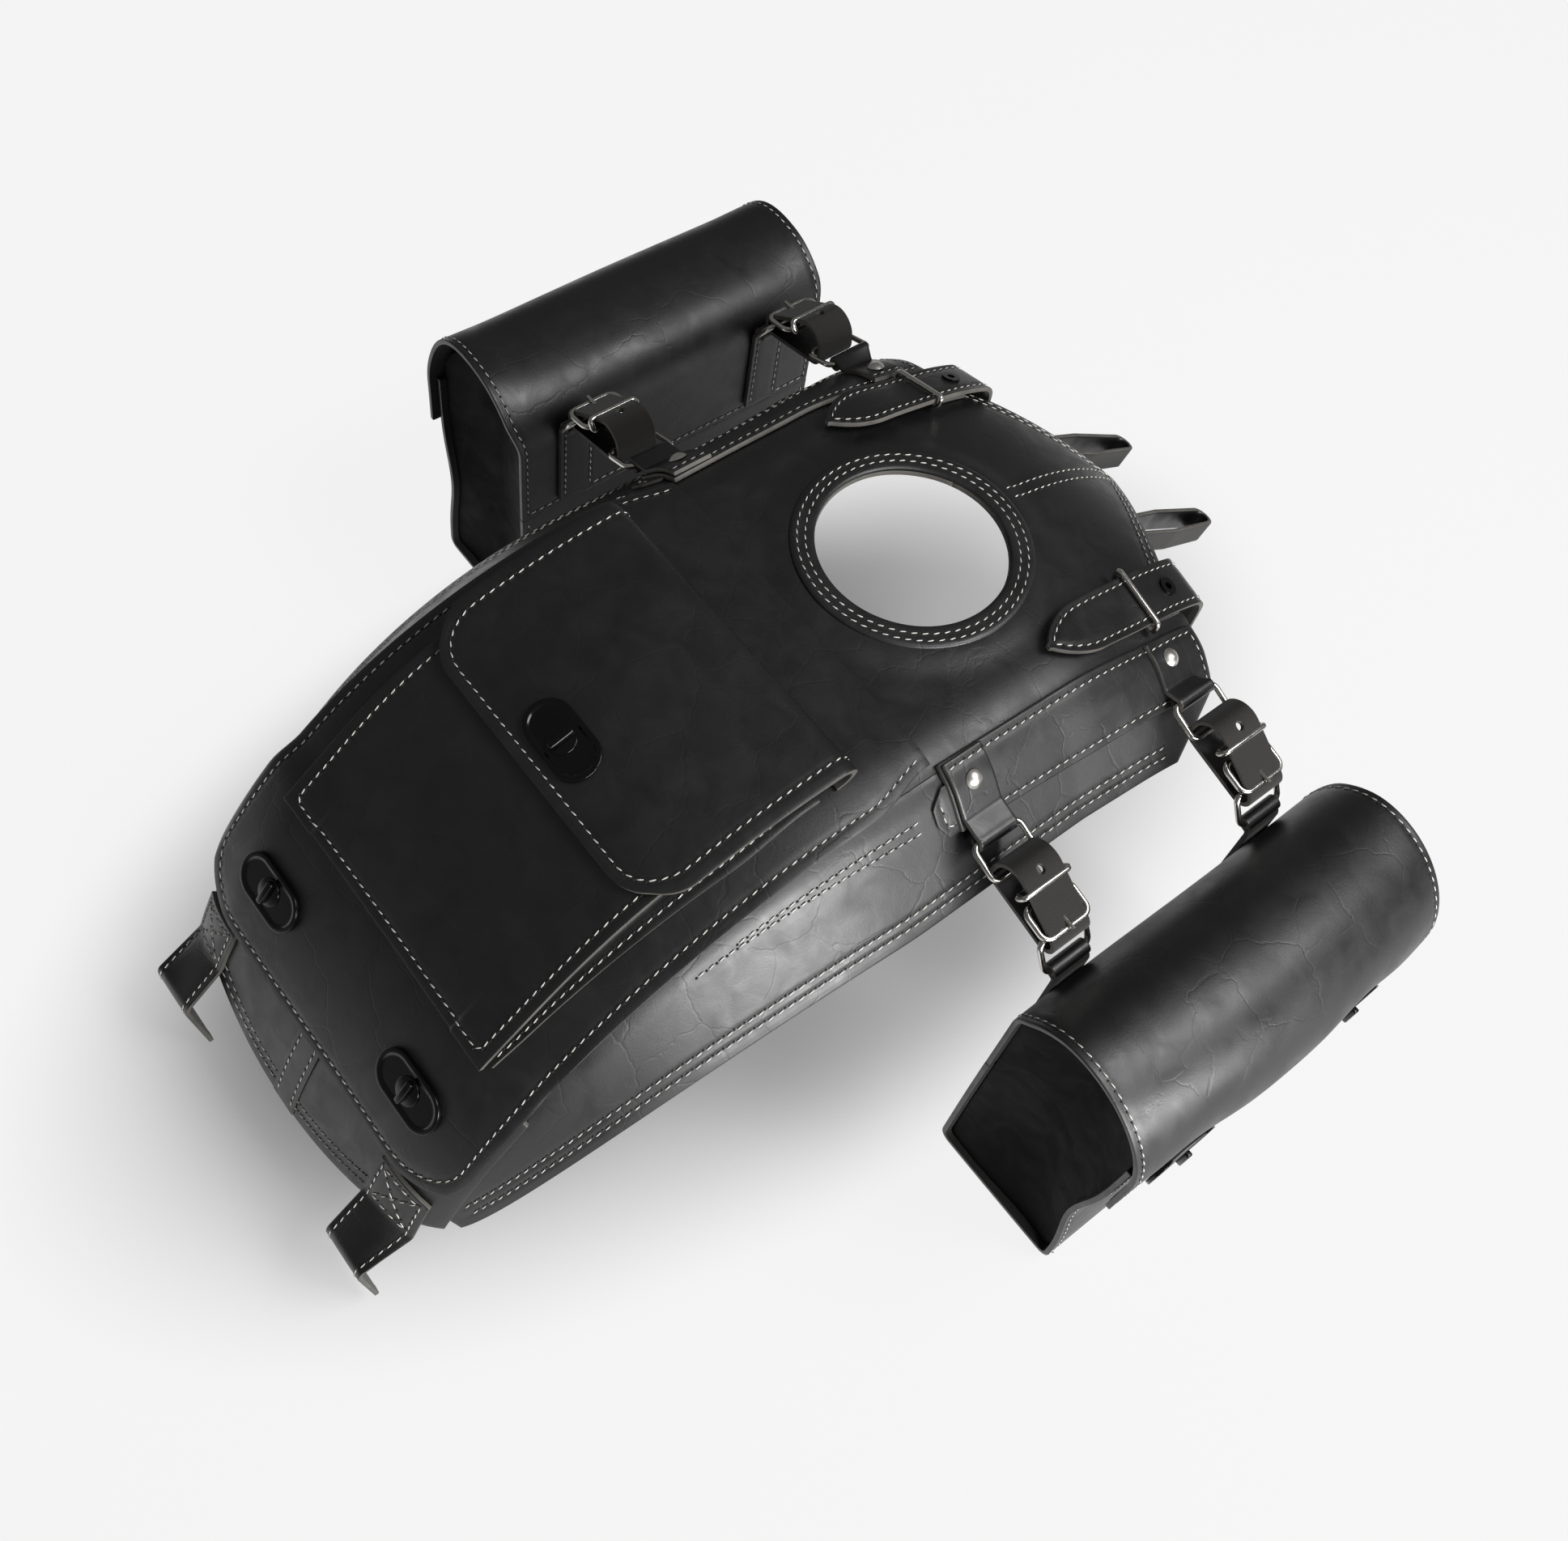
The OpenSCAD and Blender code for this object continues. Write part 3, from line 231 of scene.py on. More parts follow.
def flap_coords(front, rear, corner, half, step=4):
    """Grid of a flap from its rear edge to its front edge, with close columns along its sides."""
    runs = np.concatenate([rear + corner * (1 - np.cos(np.radians(np.arange(0, 90, 4)))),
                           spread(rear + corner, front, step)])
    widths = half(runs)
    inner = widths - RIM[-1]
    middle = [inner * m for m in spread(-1, 1, step / np.max(inner))[1:-1]]
    reaches = np.stack([r - widths for r in RIM] + middle + [widths - r for r in RIM[::-1]], -1)
    return pairs(runs[:, None], reaches)


# Materials
def linear(code):
    """Linear colour of an sRGB hex value."""
    parts = [int(code[i:i + 2], 16) / 255 for i in (1, 3, 5)]
    return [c / 12.92 if c <= 0.04045 else ((c + 0.055) / 1.055) ** 2.4 for c in parts] + [1]


def add(tree, kind, links=None, **settings):
    """Node of a kind with its settings, values and links."""
    node = tree.nodes.new("ShaderNode" + kind)
    for name, value in settings.items():
        setattr(node, name, value)
    for name, value in (links or {}).items():
        if isinstance(value, bpy.types.NodeSocket):
            tree.links.new(value, node.inputs[name])
        else:
            node.inputs[name].default_value = value
    return node


def finish(name, shader):
    """Material with a plain surface, its nodes, and the place on the object."""
    made = bpy.data.materials.new(name)
    made.use_nodes = True
    tree = made.node_tree
    tree.nodes.clear()
    surface = add(tree, "BsdfPrincipled", shader)
    add(tree, "OutputMaterial", {"Surface": surface.outputs[0]})
    return made, surface, tree, add(tree, "TexCoord").outputs["Object"]


def dress(made, surface, links):
    """Material whose surface takes these sockets."""
    for name, socket in links.items():
        made.node_tree.links.new(socket, surface.inputs[name])
    return made


def per_mm(size):
    """Scale of a pattern whose cells are this many millimetres wide."""
    return 1 / (size * MM)


def noise(tree, place, size, **how):
    return add(tree, "TexNoise", {"Vector": place, "Scale": per_mm(size), **how}).outputs["Fac"]


def cells(tree, place, size, feature):
    return add(tree, "TexVoronoi", {"Vector": place, "Scale": per_mm(size)}, feature=feature).outputs["Distance"]


def tinted(tree, share, dark, light):
    return add(tree, "Mix", {"Factor": share, 6: linear(dark), 7: linear(light)}, data_type="RGBA").outputs[2]


def ranged(tree, value, start, end, low=0.0, high=1.0, **how):
    """Value between start and end, brought between low and high."""
    return add(tree, "MapRange", {"Value": value, "From Min": start, "From Max": end, "To Min": low, "To Max": high},
               **how).outputs["Result"]


def raised(tree, height, strength, depth, under=None):
    """Normal of a relief this many millimetres deep, laid over another."""
    links = {"Strength": strength, "Distance": depth * MM, "Height": height}
    if under is not None:
        links["Normal"] = under
    return add(tree, "Bump", links).outputs[0]


def leather_finish(name, dark, light, rough, grain, wax):
    """Vegetable tanned leather, dyed black and waxed: a sheen over fine pores, with hairline creases and clouds."""
    made, surface, tree, place = finish(name, {"IOR": 1.48, "Specular IOR Level": wax})
    cloud = noise(tree, place, 70, Detail=4.0)
    crease = noise(tree, place, 16, Detail=6.0, Distortion=0.6)
    bent = add(tree, "VectorMath", {0: crease.node.outputs["Color"], 1: (0.012, 0.012, 0.012), 2: place},
               operation="MULTIPLY_ADD")
    line = ranged(tree, cells(tree, bent.outputs[0], 38, "DISTANCE_TO_EDGE"), 0.0, 0.02)
    normal = raised(tree, crease, 0.25, 0.6)
    normal = raised(tree, line, 0.16, 0.3, normal)
    normal = raised(tree, cells(tree, place, 0.9, "SMOOTH_F1"), grain, 0.12, normal)
    normal = raised(tree, noise(tree, place, 0.45, Detail=3.0), grain * 0.7, 0.08, normal)
    return dress(made, surface, {
        "Base Color": tinted(tree, ranged(tree, cloud, 0.3, 0.75), dark, light),
        "Roughness": ranged(tree, crease, 0.25, 0.75, rough - 0.08, rough + 0.1), "Normal": normal})


def cut_finish():
    """Cut edge of dyed leather: paler layered fibres under a thin burnish."""
    made, surface, tree, place = finish("cut_edge", {"Specular IOR Level": 0.3})
    fibre = noise(tree, place, 0.8, Detail=4.0)
    return dress(made, surface, {
        "Base Color": tinted(tree, noise(tree, place, 14, Detail=2.0), "#383735", "#6e6b66"),
        "Roughness": ranged(tree, fibre, 0.0, 1.0, 0.5, 0.75), "Normal": raised(tree, fibre, 0.5, 0.2)})


def flesh_finish():
    """Flesh side of the leather: a dull charcoal nap."""
    made, surface, tree, place = finish("flesh_side", {"Specular IOR Level": 0.15, "Roughness": 0.9,
                                                       "Sheen Weight": 0.15, "Sheen Roughness": 0.6})
    nap = noise(tree, place, 0.7, Detail=5.0)
    return dress(made, surface, {"Base Color": tinted(tree, nap, "#1b1a19", "#2d2b29"),
                                 "Normal": raised(tree, nap, 0.6, 0.3)})


def thread_finish():
    """Waxed polyester thread: pale grey, with the twist of its plies."""
    made, surface, tree, place = finish("waxed_thread", {"Specular IOR Level": 0.35, "Roughness": 0.55})
    ply = add(tree, "TexWave", {"Vector": place, "Scale": per_mm(0.9) / 6, "Distortion": 2.0}, wave_type="BANDS",
              bands_direction="DIAGONAL")
    return dress(made, surface, {"Base Color": tinted(tree, noise(tree, place, 9), "#a9a7a1", "#eae8e2"),
                                 "Normal": raised(tree, ply.outputs["Fac"], 0.4, 0.1)})


def nickel_finish(name, low, high):
    """Nickel plated steel: bright, slightly warm, with a haze from handling."""
    made, surface, tree, place = finish(name, {"Metallic": 1.0, "Base Color": linear("#d9d6d0")})
    haze = noise(tree, place, 5, Detail=5.0)
    return dress(made, surface, {"Roughness": ranged(tree, haze, 0.3, 0.7, low, high),
                                 "Normal": raised(tree, haze, 0.08, 0.2)})


def enamel_finish():
    """Gloss black enamel on pressed steel: deep, with a slight orange peel."""
    made, surface, tree, place = finish("black_enamel", {"Base Color": linear("#070708"), "Coat Weight": 0.2,
                                                         "Coat Roughness": 0.08, "Specular IOR Level": 0.3})
    peel = noise(tree, place, 2.2, Detail=2.0)
    return dress(made, surface, {"Roughness": ranged(tree, peel, 0.0, 1.0, 0.14, 0.24),
                                 "Normal": raised(tree, peel, 0.06, 0.3)})


PANEL_LEATHER = leather_finish("black_saddle_leather", "#0b0b0c", "#171717", 0.43, 0.2, 0.8)
STRAP_LEATHER = leather_finish("black_strap_leather", "#0f0f10", "#1c1b1b", 0.38, 0.14, 0.7)
# Soft matte leather for the bag gussets and the pocket toe; its tone, darker than the panel leather, is painted shade
# on these folded-in parts.
SHADED_GUSSET_LEATHER = leather_finish("shaded_soft_gusset_leather", "#070707", "#0f0f0f", 0.6, 0.24, 0.06)
CUT_EDGE = cut_finish()
FLESH = flesh_finish()
THREAD = thread_finish()
NICKEL = nickel_finish("nickel_plate", 0.12, 0.26)
RIVET_NICKEL = nickel_finish("rubbed_nickel_plate", 0.32, 0.45)
ENAMEL = enamel_finish()


# Pieces
def mesh_of(name, bm):
    mesh = bpy.data.meshes.new(name)
    bm.to_mesh(mesh)
    bm.free()
    return mesh


def put(name, data):
    """Object in the scene, at the origin."""
    made = bpy.data.objects.new(name, data)
    bpy.context.scene.collection.objects.link(made)
    return made


def new_piece(name, bm, body, nodes, slot, materials):
    """Object made of a mesh, which rides on a body where that is a name."""
    mesh = mesh_of(name, bm)
    mesh.polygons.foreach_set("use_smooth", [True] * len(mesh.polygons))
    for material in materials:
        mesh.materials.append(material)
    piece = put(name, mesh)
    if isinstance(body, str):
        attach(piece, body)
    if nodes:
        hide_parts(*nodes)
    return piece


def bend_between(piece, hinge):
    """Mesh with its modifiers made final and its place baked into it."""
    if piece.modifiers:
        graph = bpy.context.evaluated_depsgraph_get()
        rough = piece.data
        piece.data = bpy.data.meshes.new_from_object(piece.evaluated_get(graph))
        piece.modifiers.clear()
        bpy.data.meshes.remove(rough)
        piece.data.name = piece.name
    first, second, start, end = hinge
    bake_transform(piece)
    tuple(start)
    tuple(end)


def respaced(values, points, step):
    """Values along a line of points, made even by the distance along it."""
    length = lengths(points)
    marks = np.linspace(0, length[-1], max(1, int(round(length[-1] / step))) + 1)
    return np.stack([np.interp(marks, length, column) for column in values.T], -1)


def thread_line(place, line, step):
    """Coordinates along a line on a surface, evenly spaced by their real distance."""
    fine = np.concatenate([np.linspace(line[i], line[i + 1], 9)[:-1] for i in range(len(line) - 1)] + [line[-1:]])
    return respaced(fine, place(*fine.T), step)


STITCH_LONG, STITCH_THICK, STITCH_SLANT = 3.5, 0.38, 0.16


def spindle(finish_index):
    """Short rounded spindle of unit half axes, and the places of its points."""
    bm = bmesh.new()
    bmesh.ops.create_uvsphere(bm, u_segments=6, v_segments=4, radius=1)
    for face in bm.faces:
        face.material_index = finish_index
    mesh = mesh_of("spindle", bm)
    return mesh, np.array([v.co for v in mesh.vertices])


def sew(name, body, rows, waved=False):
    """Row upon row of slanting saddle stitches, one short thread each, between flat dark discs of painted shade at the
    needle holes.
    """
    bm = bmesh.new()
    # Needle holes are flat dark discs of the flesh finish laid on the face: painted shade where the holes would be.
    thread, painted_hole_shade, held = spindle(0), spindle(1), bpy.data.meshes.new("row")
    for place, line in rows:
        row = bmesh.new()
        coords = thread_line(place, line, PITCH)
        mid = ((coords[1:] + coords[:-1]) / 2).T
        points, normals = place(*mid), face_normal(place, *mid)
        if waved:
            points = points + wave(points) * normals
        along = unit(np.diff(place(*coords.T), axis=0))
        slant = unit(along + STITCH_SLANT * unit(np.cross(normals, along)))
        for p, t, n in zip(points, slant, normals):
            b = np.cross(n, t)
            for (mesh, ball), middle, half_axes in (
                    (thread, p + 0.1 * n, (b * STITCH_THICK, n * STITCH_THICK * 0.85, t * STITCH_LONG / 2)),
                    (painted_hole_shade, p + PITCH / 2 * t - 0.02 * n, (b * 0.62, n * 0.1, t * 0.75))):
                mesh.vertices.foreach_set("co", ((middle + ball @ np.array(half_axes)) * MM).ravel())
                row.from_mesh(mesh)
        row.to_mesh(held)
        row.free()
        bm.from_mesh(held)
    for mesh in (thread[0], painted_hole_shade[0], held):
        bpy.data.meshes.remove(mesh)
    piece = new_piece(name, bm, body, (), None, [THREAD, FLESH])
    if not isinstance(body, str):
        bend_between(piece, body)
    return piece


def leather(name, body, nodes, place, coords, rows=(), thick=PANEL, slot="panel_leather", face=None, holes=(),
            closed=False, edge=0.55, groove=0.45, raw=True):
    """Leather cut to a grid of surface coordinates, laid on a surface, with its stitch rows pressed in.

    It rides on a body; where body gives (first, second, start, end) it rides on none and its place is baked in. A raw
    edge shows its fibres, and one that isn't is dyed like the face."""
    lines, cols = coords.shape[:2]
    waved = slot == "panel_leather"
    bm = bmesh.new()
    bmesh.ops.create_grid(bm, x_segments=cols - 1, y_segments=lines - 1, size=0.5)
    bm.verts.ensure_lookup_table()
    index = np.array([[round((v.co.y + 0.5) * (lines - 1)), round((v.co.x + 0.5) * (cols - 1))] for v in bm.verts])
    spots = coords[index[:, 0], index[:, 1]]
    for middle, radius in holes:
        away = np.linalg.norm(place(*spots.T) - middle, axis=1)
        gone = [f for f in bm.faces if np.mean([away[v.index] for v in f.verts]) < radius]
        lost = set(gone)
        used = [any(f not in lost for f in v.link_faces) for v in bm.verts]
        rim = [v.index for v in bm.verts if used[v.index] and any(f in lost for f in v.link_faces)]
        centre = nearest(place, spots[np.argmin(away)], middle)
        for _ in range(6):
            grow = radius / np.linalg.norm(place(*spots[rim].T) - middle, axis=1)
            spots[rim] = centre + (spots[rim] - centre) * grow[:, None]
        bmesh.ops.delete(bm, geom=gone, context="FACES")
        spots = spots[used]
        bm.verts.index_update()
        bm.verts.ensure_lookup_table()
    points, normals = place(*spots.T), face_normal(place, *spots.T)
    sink = np.zeros(len(points))
    for line in rows:
        marks = place(*thread_line(place, line, 1.5).T)
        for start in range(0, len(points), 2000):
            part = slice(start, start + 2000)
            near = np.sqrt(((points[part, None] - marks[None]) ** 2).sum(-1)).min(1)
            sink[part] = np.maximum(sink[part], groove * np.exp(-(near / 1.5) ** 2))
    if waved:
        points = points + wave(points) * normals
    points = points - sink[:, None] * normals
    for v, p in zip(bm.verts, points * MM):
        v.co = p
    if closed:
        bmesh.ops.remove_doubles(bm, verts=bm.verts, dist=1e-6)
    face = face or (PANEL_LEATHER if slot == "panel_leather" else STRAP_LEATHER)
    piece = new_piece(name, bm, body, nodes, slot, [face, CUT_EDGE if raw else face, FLESH])
    wall = piece.modifiers.new("thickness", "SOLIDIFY")
    wall.thickness, wall.offset = thick * MM, -1
    wall.use_quality_normals = True
    wall.material_offset, wall.material_offset_rim = 2, 1
    soft = piece.modifiers.new("edge", "BEVEL")
    soft.width, soft.segments = edge * MM, 2
    soft.limit_method, soft.angle_limit = "ANGLE", math.radians(55)
    if not isinstance(body, str):
        bend_between(piece, body)
    if rows:
        sew(name + "_thread", body, [(place, line) for line in rows], waved)
    return piece


def nearest(place, start, target):
    """Surface coordinates near a start whose point is the nearest to a target."""
    spot = np.array(start, float)
    for _ in range(8):
        here = place(*spot)
        steps = np.stack([(place(spot[0] + 0.5, spot[1]) - here) / 0.5, (place(spot[0], spot[1] + 0.5) - here) / 0.5])
        spot = spot + np.linalg.lstsq(steps.T, target - here, rcond=None)[0]
    return spot


def cut(side, name, body, nodes, place, coords, rows=(), **how):
    """Leather on the right side, or its mirror image on the left."""
    if side > 0:
        return leather(name, body, nodes, place, coords, rows, **how)
    return leather(name, body, nodes, lambda a, b: place(a, -np.asarray(b)) * [-1, 1, 1],
                   (coords * [1, -1])[:, ::-1], [row * [1, -1] for row in rows], **how)


def strap(side, name, body, nodes, place, coords, rows=(), thick=STRAP, **how):
    return cut(side, name, body, nodes, place, coords, rows, thick=thick, slot="strap_leather", **how)


def edged(rim, inner):
    """Shares across a strip from -1 to 1, with those of its rim at both sides."""
    return np.concatenate([-np.array(rim), inner, np.array(rim)[::-1]])


def loft(rows):
    """Surface through rows of points, by the distance along its middle and the share across it from -1 to 1."""
    rows = np.asarray(rows, float)
    marks = lengths(rows[:, rows.shape[1] // 2])
    shares = np.linspace(-1, 1, rows.shape[1])

    def place(a, b):
        a, b = both(a, b)
        i = np.clip(np.searchsorted(marks, a, "right") - 1, 0, len(marks) - 2)
        t = ((a - marks[i]) / (marks[i + 1] - marks[i]))[..., None]
        j = np.clip(np.searchsorted(shares, b, "right") - 1, 0, len(shares) - 2)
        s = ((b - shares[j]) / (shares[j + 1] - shares[j]))[..., None]
        return ((rows[i, j] * (1 - s) + rows[i, j + 1] * s) * (1 - t)
                + (rows[i + 1, j] * (1 - s) + rows[i + 1, j + 1] * s) * t)

    place.length = marks[-1]
    return place


def belt(circles, count, step):
    """Even points of a belt round circles, each given by its middle and radius."""
    points = [middle + polar(a, radius) for middle, radius in circles for a in np.linspace(0, 2 * math.pi, count)]
    points = sorted(set((round(float(x), 6), round(float(y), 6)) for x, y in points))

    def half(ordered):
        kept = []
        for p in ordered:
            while len(kept) > 1 and ((kept[-1][0] - kept[-2][0]) * (p[1] - kept[-2][1])
                                     - (kept[-1][1] - kept[-2][1]) * (p[0] - kept[-2][0])) <= 0:
                kept.pop()
            kept.append(p)
        return kept

    hull = half(points)[:-1] + half(points[::-1])[:-1]
    hull = np.array(hull + hull[:1])
    return respaced(hull, hull, step)


def wire(name, body, nodes, corners, turn, radius, sides=12):
    """Ring of round wire that turns at four corners."""
    path = []
    for k, corner in enumerate(corners):
        back, ahead = unit(corners[k - 1] - corner), unit(corners[(k + 1) % 4] - corner)
        centre = corner + turn * (back + ahead)
        path += [centre - turn * (ahead * math.cos(t) + back * math.sin(t)) for t in np.linspace(0, math.pi / 2, 7)]
    path, count = np.array(path), len(path)
    up = unit(np.cross(corners[1] - corners[0], corners[2] - corners[1]))
    out = unit(np.cross(unit(np.roll(path, -1, 0) - np.roll(path, 1, 0)), up))
    bm = bmesh.new()
    bmesh.ops.create_grid(bm, x_segments=sides, y_segments=count, size=0.5)
    for v in bm.verts:
        i = round((v.co.y + 0.5) * count) % count
        c, s = polar(2 * math.pi * (round((v.co.x + 0.5) * sides) % sides) / sides, radius)
        v.co = (path[i] + c * out[i] + s * up) * MM
    bmesh.ops.remove_doubles(bm, verts=bm.verts, dist=1e-7)
    bmesh.ops.recalc_face_normals(bm, faces=bm.faces)
    return new_piece(name, bm, body, nodes, "nickel", [NICKEL])


def verts_in(geom):
    return [g for g in geom if isinstance(g, bmesh.types.BMVert)]


def bevel(bm, edges, offset, segments=2):
    bmesh.ops.bevel(bm, geom=edges, offset=offset, segments=segments, profile=0.5, affect="EDGES", material=-1)


# Places of the locks, each with its normal and its upward direction
def main_lock(side):
    run = FLAP_REAR + 38
    return at(run, 62.0, flap_top(run)) * [side, 1, 1], *axes(run)


def pocket_lock():
    run = HOOD_REAR + 20.0
    return at(run, 0.0, 24.6), *axes(run)


def strike_hole(spot, normal, up):
    """Hole in the layer below a lock, round its strike."""
    return spot - (PANEL + FLAP_GAP) * normal + STRIKE_UP * up, STRIKE_HOLE


# Apron
def apron():
    """Top, sides, rear pocket with its divider, and the binding below the front edge."""
    reaches = spread(-SIDE_FROM, SIDE_FROM, 4)
    long = (front_edge(reaches) - rear_edge(reaches)) * np.linspace(0, 1, 160)[:, None]
    across = spread(-88, 88, 5)
    rows = [pairs(front_edge(across) - inset, across) for inset in (5, 10.5)]
    rows += [np.array([[68.0, reach], [front_edge(0.0) - 14, reach]]) for reach in (-3.4, 3.4)]

    def drawn_up(run, reach):
        """Top of the apron, drawn up round the neck."""
        spot = skin(run, reach)
        away = np.hypot(spot[..., 0], spot[..., 1])
        return at(run, reach, NECK_RISE * smooth((RISE_FROM - away) / RISE_SPAN))

    leather("apron_top", "apron", ["top_panel"], drawn_up, pairs(rear_edge(reaches) + long, reaches), rows,
            holes=[(np.array([0, 0, NECK_RISE]), NECK)])

    share = np.concatenate([np.linspace(0, 0.7, 18), np.linspace(0.72, 1, 18)])
    front = front_edge(SIDE_FROM + share * (SIDE_REACH - SIDE_FROM))
    rear = rear_edge(SEAM_REACH) + 4
    runs = rear + (front - rear) * np.linspace(0, 1, 130)[:, None]
    coords = pairs(runs, SIDE_FROM + SEAM + share * (lower_reach(runs) - SIDE_FROM - SEAM))
    line = spread(-398, 64, 8)
    rows = [pairs(line, lower_reach(line) - inset) for inset in (6.5, 12)]
    rows += [np.array([[-92.0, 121 + inset], [-200 - 4 * inset, 117.0]]) for inset in (0, 6)]
    for name, side in SIDES:
        cut(side, name + "_side", "apron", [name + "_side_panel"], on_skin(0), coords, rows)

    reaches = spread(2 - SEAM_REACH, SEAM_REACH - 2, 4)
    rear = rear_edge(reaches) + 2
    coords = pairs(rear + (REAR_POCKET_FRONT - rear) * np.linspace(0, 1, 34)[:, None], reaches)
    across = spread(-100, 100, 5)
    rows = [pairs(rear_edge(across) + inset, across) for inset in (9, 15)]
    leather("rear_pocket_panel", "apron", ["rear_pocket"], on_skin(POCKET_TOP), coords, rows,
            holes=[strike_hole(*main_lock(side)) for side in (1, -1)])

    runs = spread(-REAR_RUN + 3, REAR_POCKET_FRONT - 4, 4)
    leather("divider_strip", "apron", ["pocket_divider"], on_skin(POCKET_TOP + SEAM + 0.8),
            grid(runs, spread(-9, 9, 1.5)), [pairs(runs[1:-1], reach) for reach in (-6, 6)], thick=0.8,
            slot="strap_leather", edge=0.2, groove=0.2)

    reaches = spread(4 - SEAM_REACH, SEAM_REACH - 4, 4)
    runs = front_edge(reaches) - 20 * (1 - np.linspace(0, 1, 7)[:, None])
    leather("front_edge_binding", "apron", ["front_binding"], on_skin(-PANEL - 0.5), pairs(runs, reaches),
            slot="strap_leather")


def collar():
    """Raised double layer round the neck, with its edges turned over."""
    bm = bmesh.new()
    bmesh.ops.create_circle(bm, segments=128, radius=NECK * MM, matrix=Matrix.Translation((0, 0, NECK_RISE * MM)))
    edges = list(bm.edges)
    for out, high in ((0.4, 1.2), (1.4, 1.5), (4.2, 1.5), (6.9, 1.3), (9.6, 1.5), (11.4, 1.4), (12.6, 0.9), (13, 0.4),
                      (13, 0.05), (0, 0)):
        grown = bmesh.ops.extrude_edge_only(bm, edges=edges)["geom"]
        for v in verts_in(grown):
            flat = Vector((v.co.x, v.co.y, 0)).normalized()
            v.co = flat * (NECK + out) * MM + Vector((0, 0, (NECK_RISE + high) * MM))
        edges = [e for e in grown if isinstance(e, bmesh.types.BMEdge)]
    bmesh.ops.remove_doubles(bm, verts=bm.verts, dist=1e-6)
    bmesh.ops.recalc_face_normals(bm, faces=bm.faces)
    new_piece("neck_collar", bm, "apron", ["collar_ring"], "panel_leather", [PANEL_LEATHER])

    def on_collar(turn, out):
        turn, out = both(turn, out)
        angle = turn / NECK
        return np.stack([out * np.sin(angle), -out * np.cos(angle), np.full(turn.shape, NECK_RISE + 1.4)], -1)

    turns = -np.radians(np.arange(0, 361, 6.0))[::-1] * NECK
    sew("neck_collar_thread", "apron", [(on_collar, pairs(turns, NECK + out)) for out in (5.0, 9.2)])


# Shoulder bands, with the tabs that hold the hangers
BAND_REAR, BAND_FRONT = -73, 110
BAND_TOP = SEAM + PANEL
BAND_REACH, BAND_SKEW, BAND_WIDE, BAND_GROWTH = 102, 4, 36, 6
HANGERS = (-60.0, 80.0)
HANGER_HALF = 12.0
TAB_TOP = BAND_TOP + SEAM + STRAP
SWING = np.array([138.0, -27.0])
SLEEVE = 4.25


def band_upper(run):
    return BAND_REACH + BAND_SKEW * (run - BAND_REAR) / (BAND_FRONT - BAND_REAR)


def band_lower(run):
    return band_upper(run) + BAND_WIDE + BAND_GROWTH * (run - BAND_REAR) / (BAND_FRONT - BAND_REAR)


def crown_y(run):
    return float(skin(run, 0.0)[1])


def bands():
    runs = spread(BAND_REAR, BAND_FRONT, 3)[:, None]
    rim = np.array(RIM[:6]) / BAND_WIDE
    share = np.concatenate([rim, np.linspace(9, 27, 7) / BAND_WIDE, 1 - rim[::-1]])
    coords = pairs(runs, band_upper(runs) + share * (band_lower(runs) - band_upper(runs)))
    ends = (BAND_REAR + 4, BAND_FRONT - 4)
    long = spread(*ends, 6)
    rows = [pairs(long, band_upper(long) + 4), pairs(long, band_lower(long) - 4)]
    rows += [np.array([[end, band_upper(end) + 5], [end, band_lower(end) - 5]]) for end in ends]
    for name, side in SIDES:
        cut(side, name + "_shoulder_band", "apron", [name + "_band"], on_skin(BAND_TOP), coords, rows)


def band_tails():
    """Thin strip that shows behind the rear end of each band, with its own row of stitches."""
    end, upper, low = BAND_REAR - SEAM, band_upper(BAND_REAR), band_lower(BAND_REAR)
    reach = spread(upper + 10, low - 0.5, 2)
    depth = np.interp(reach, [upper + 10, upper + 17, low - 9, low - 0.5], [2.5, 11, 11, 6])
    coords = pairs(end - depth * (1 - np.linspace(0, 1, 13)[:, None]), reach)
    row = np.array([[end - 6.5, upper + 16], [end - 6.5, low - 7], [end - 1.5, low - 4.5]])
    for name, side in SIDES:
        strap(side, name + "_band_tail", "apron", (), on_skin(SEAM + 1.6), coords, [row], thick=1.6,
              face=PANEL_LEATHER, edge=0.3, groove=0.25)


def shoulder_tabs():
    """Tabs sewn on the bands, each rolled round the upper ring of a hanger."""
    across = np.linspace(-1, 1, 5) * HANGER_HALF
    for name, side in SIDES:
        for run in HANGERS:
            rows = [at(run + across, band_upper(run) + k, TAB_TOP) for k in np.linspace(0.6, 29, 11)]
            rolled = [SWING + polar(a, SLEEVE) for a in np.radians(np.linspace(95, -170, 20))]
            rows += [[[x, crown_y(run) + t, z] for t in across] for x, z in rolled]
            place = loft(np.array(rows)[::-1])
            end = place.length - 3.6
            strap(side, "%s_ring_tab_%d" % (name, run > 0), "apron", ["shoulder_tabs"], place,
                  grid(spread(0, place.length, 1.4), np.linspace(-1, 1, 17)), [np.array([[end, -0.96], [end, 0.96]])])


# Front straps
STRAP_X, STRAP_HALF, STRAP_TIP, POINT = 86.0, 14.0, 13.0, 30.0
WIRE, WIRE_PLAY, FRAME_RISE = 1.6, 1.2, 2
STRAP_LIFT = FRAME_RISE + 2 * WIRE + 2 * SEAM + STRAP / 2
STRAP_INSET = 3.4
BEND, TAIL = 13.0, 55.0
EYE_RUN, EYE, FRAME_RUN = 106.0, 3.4, 80.0


def strap_edge(run, x):
    return skin(run, reach_at(run, x))[..., 1:]


def strap_foot(run):
    return (strap_edge(run, STRAP_X - STRAP_HALF) + strap_edge(run, STRAP_X + STRAP_HALF)) / 2


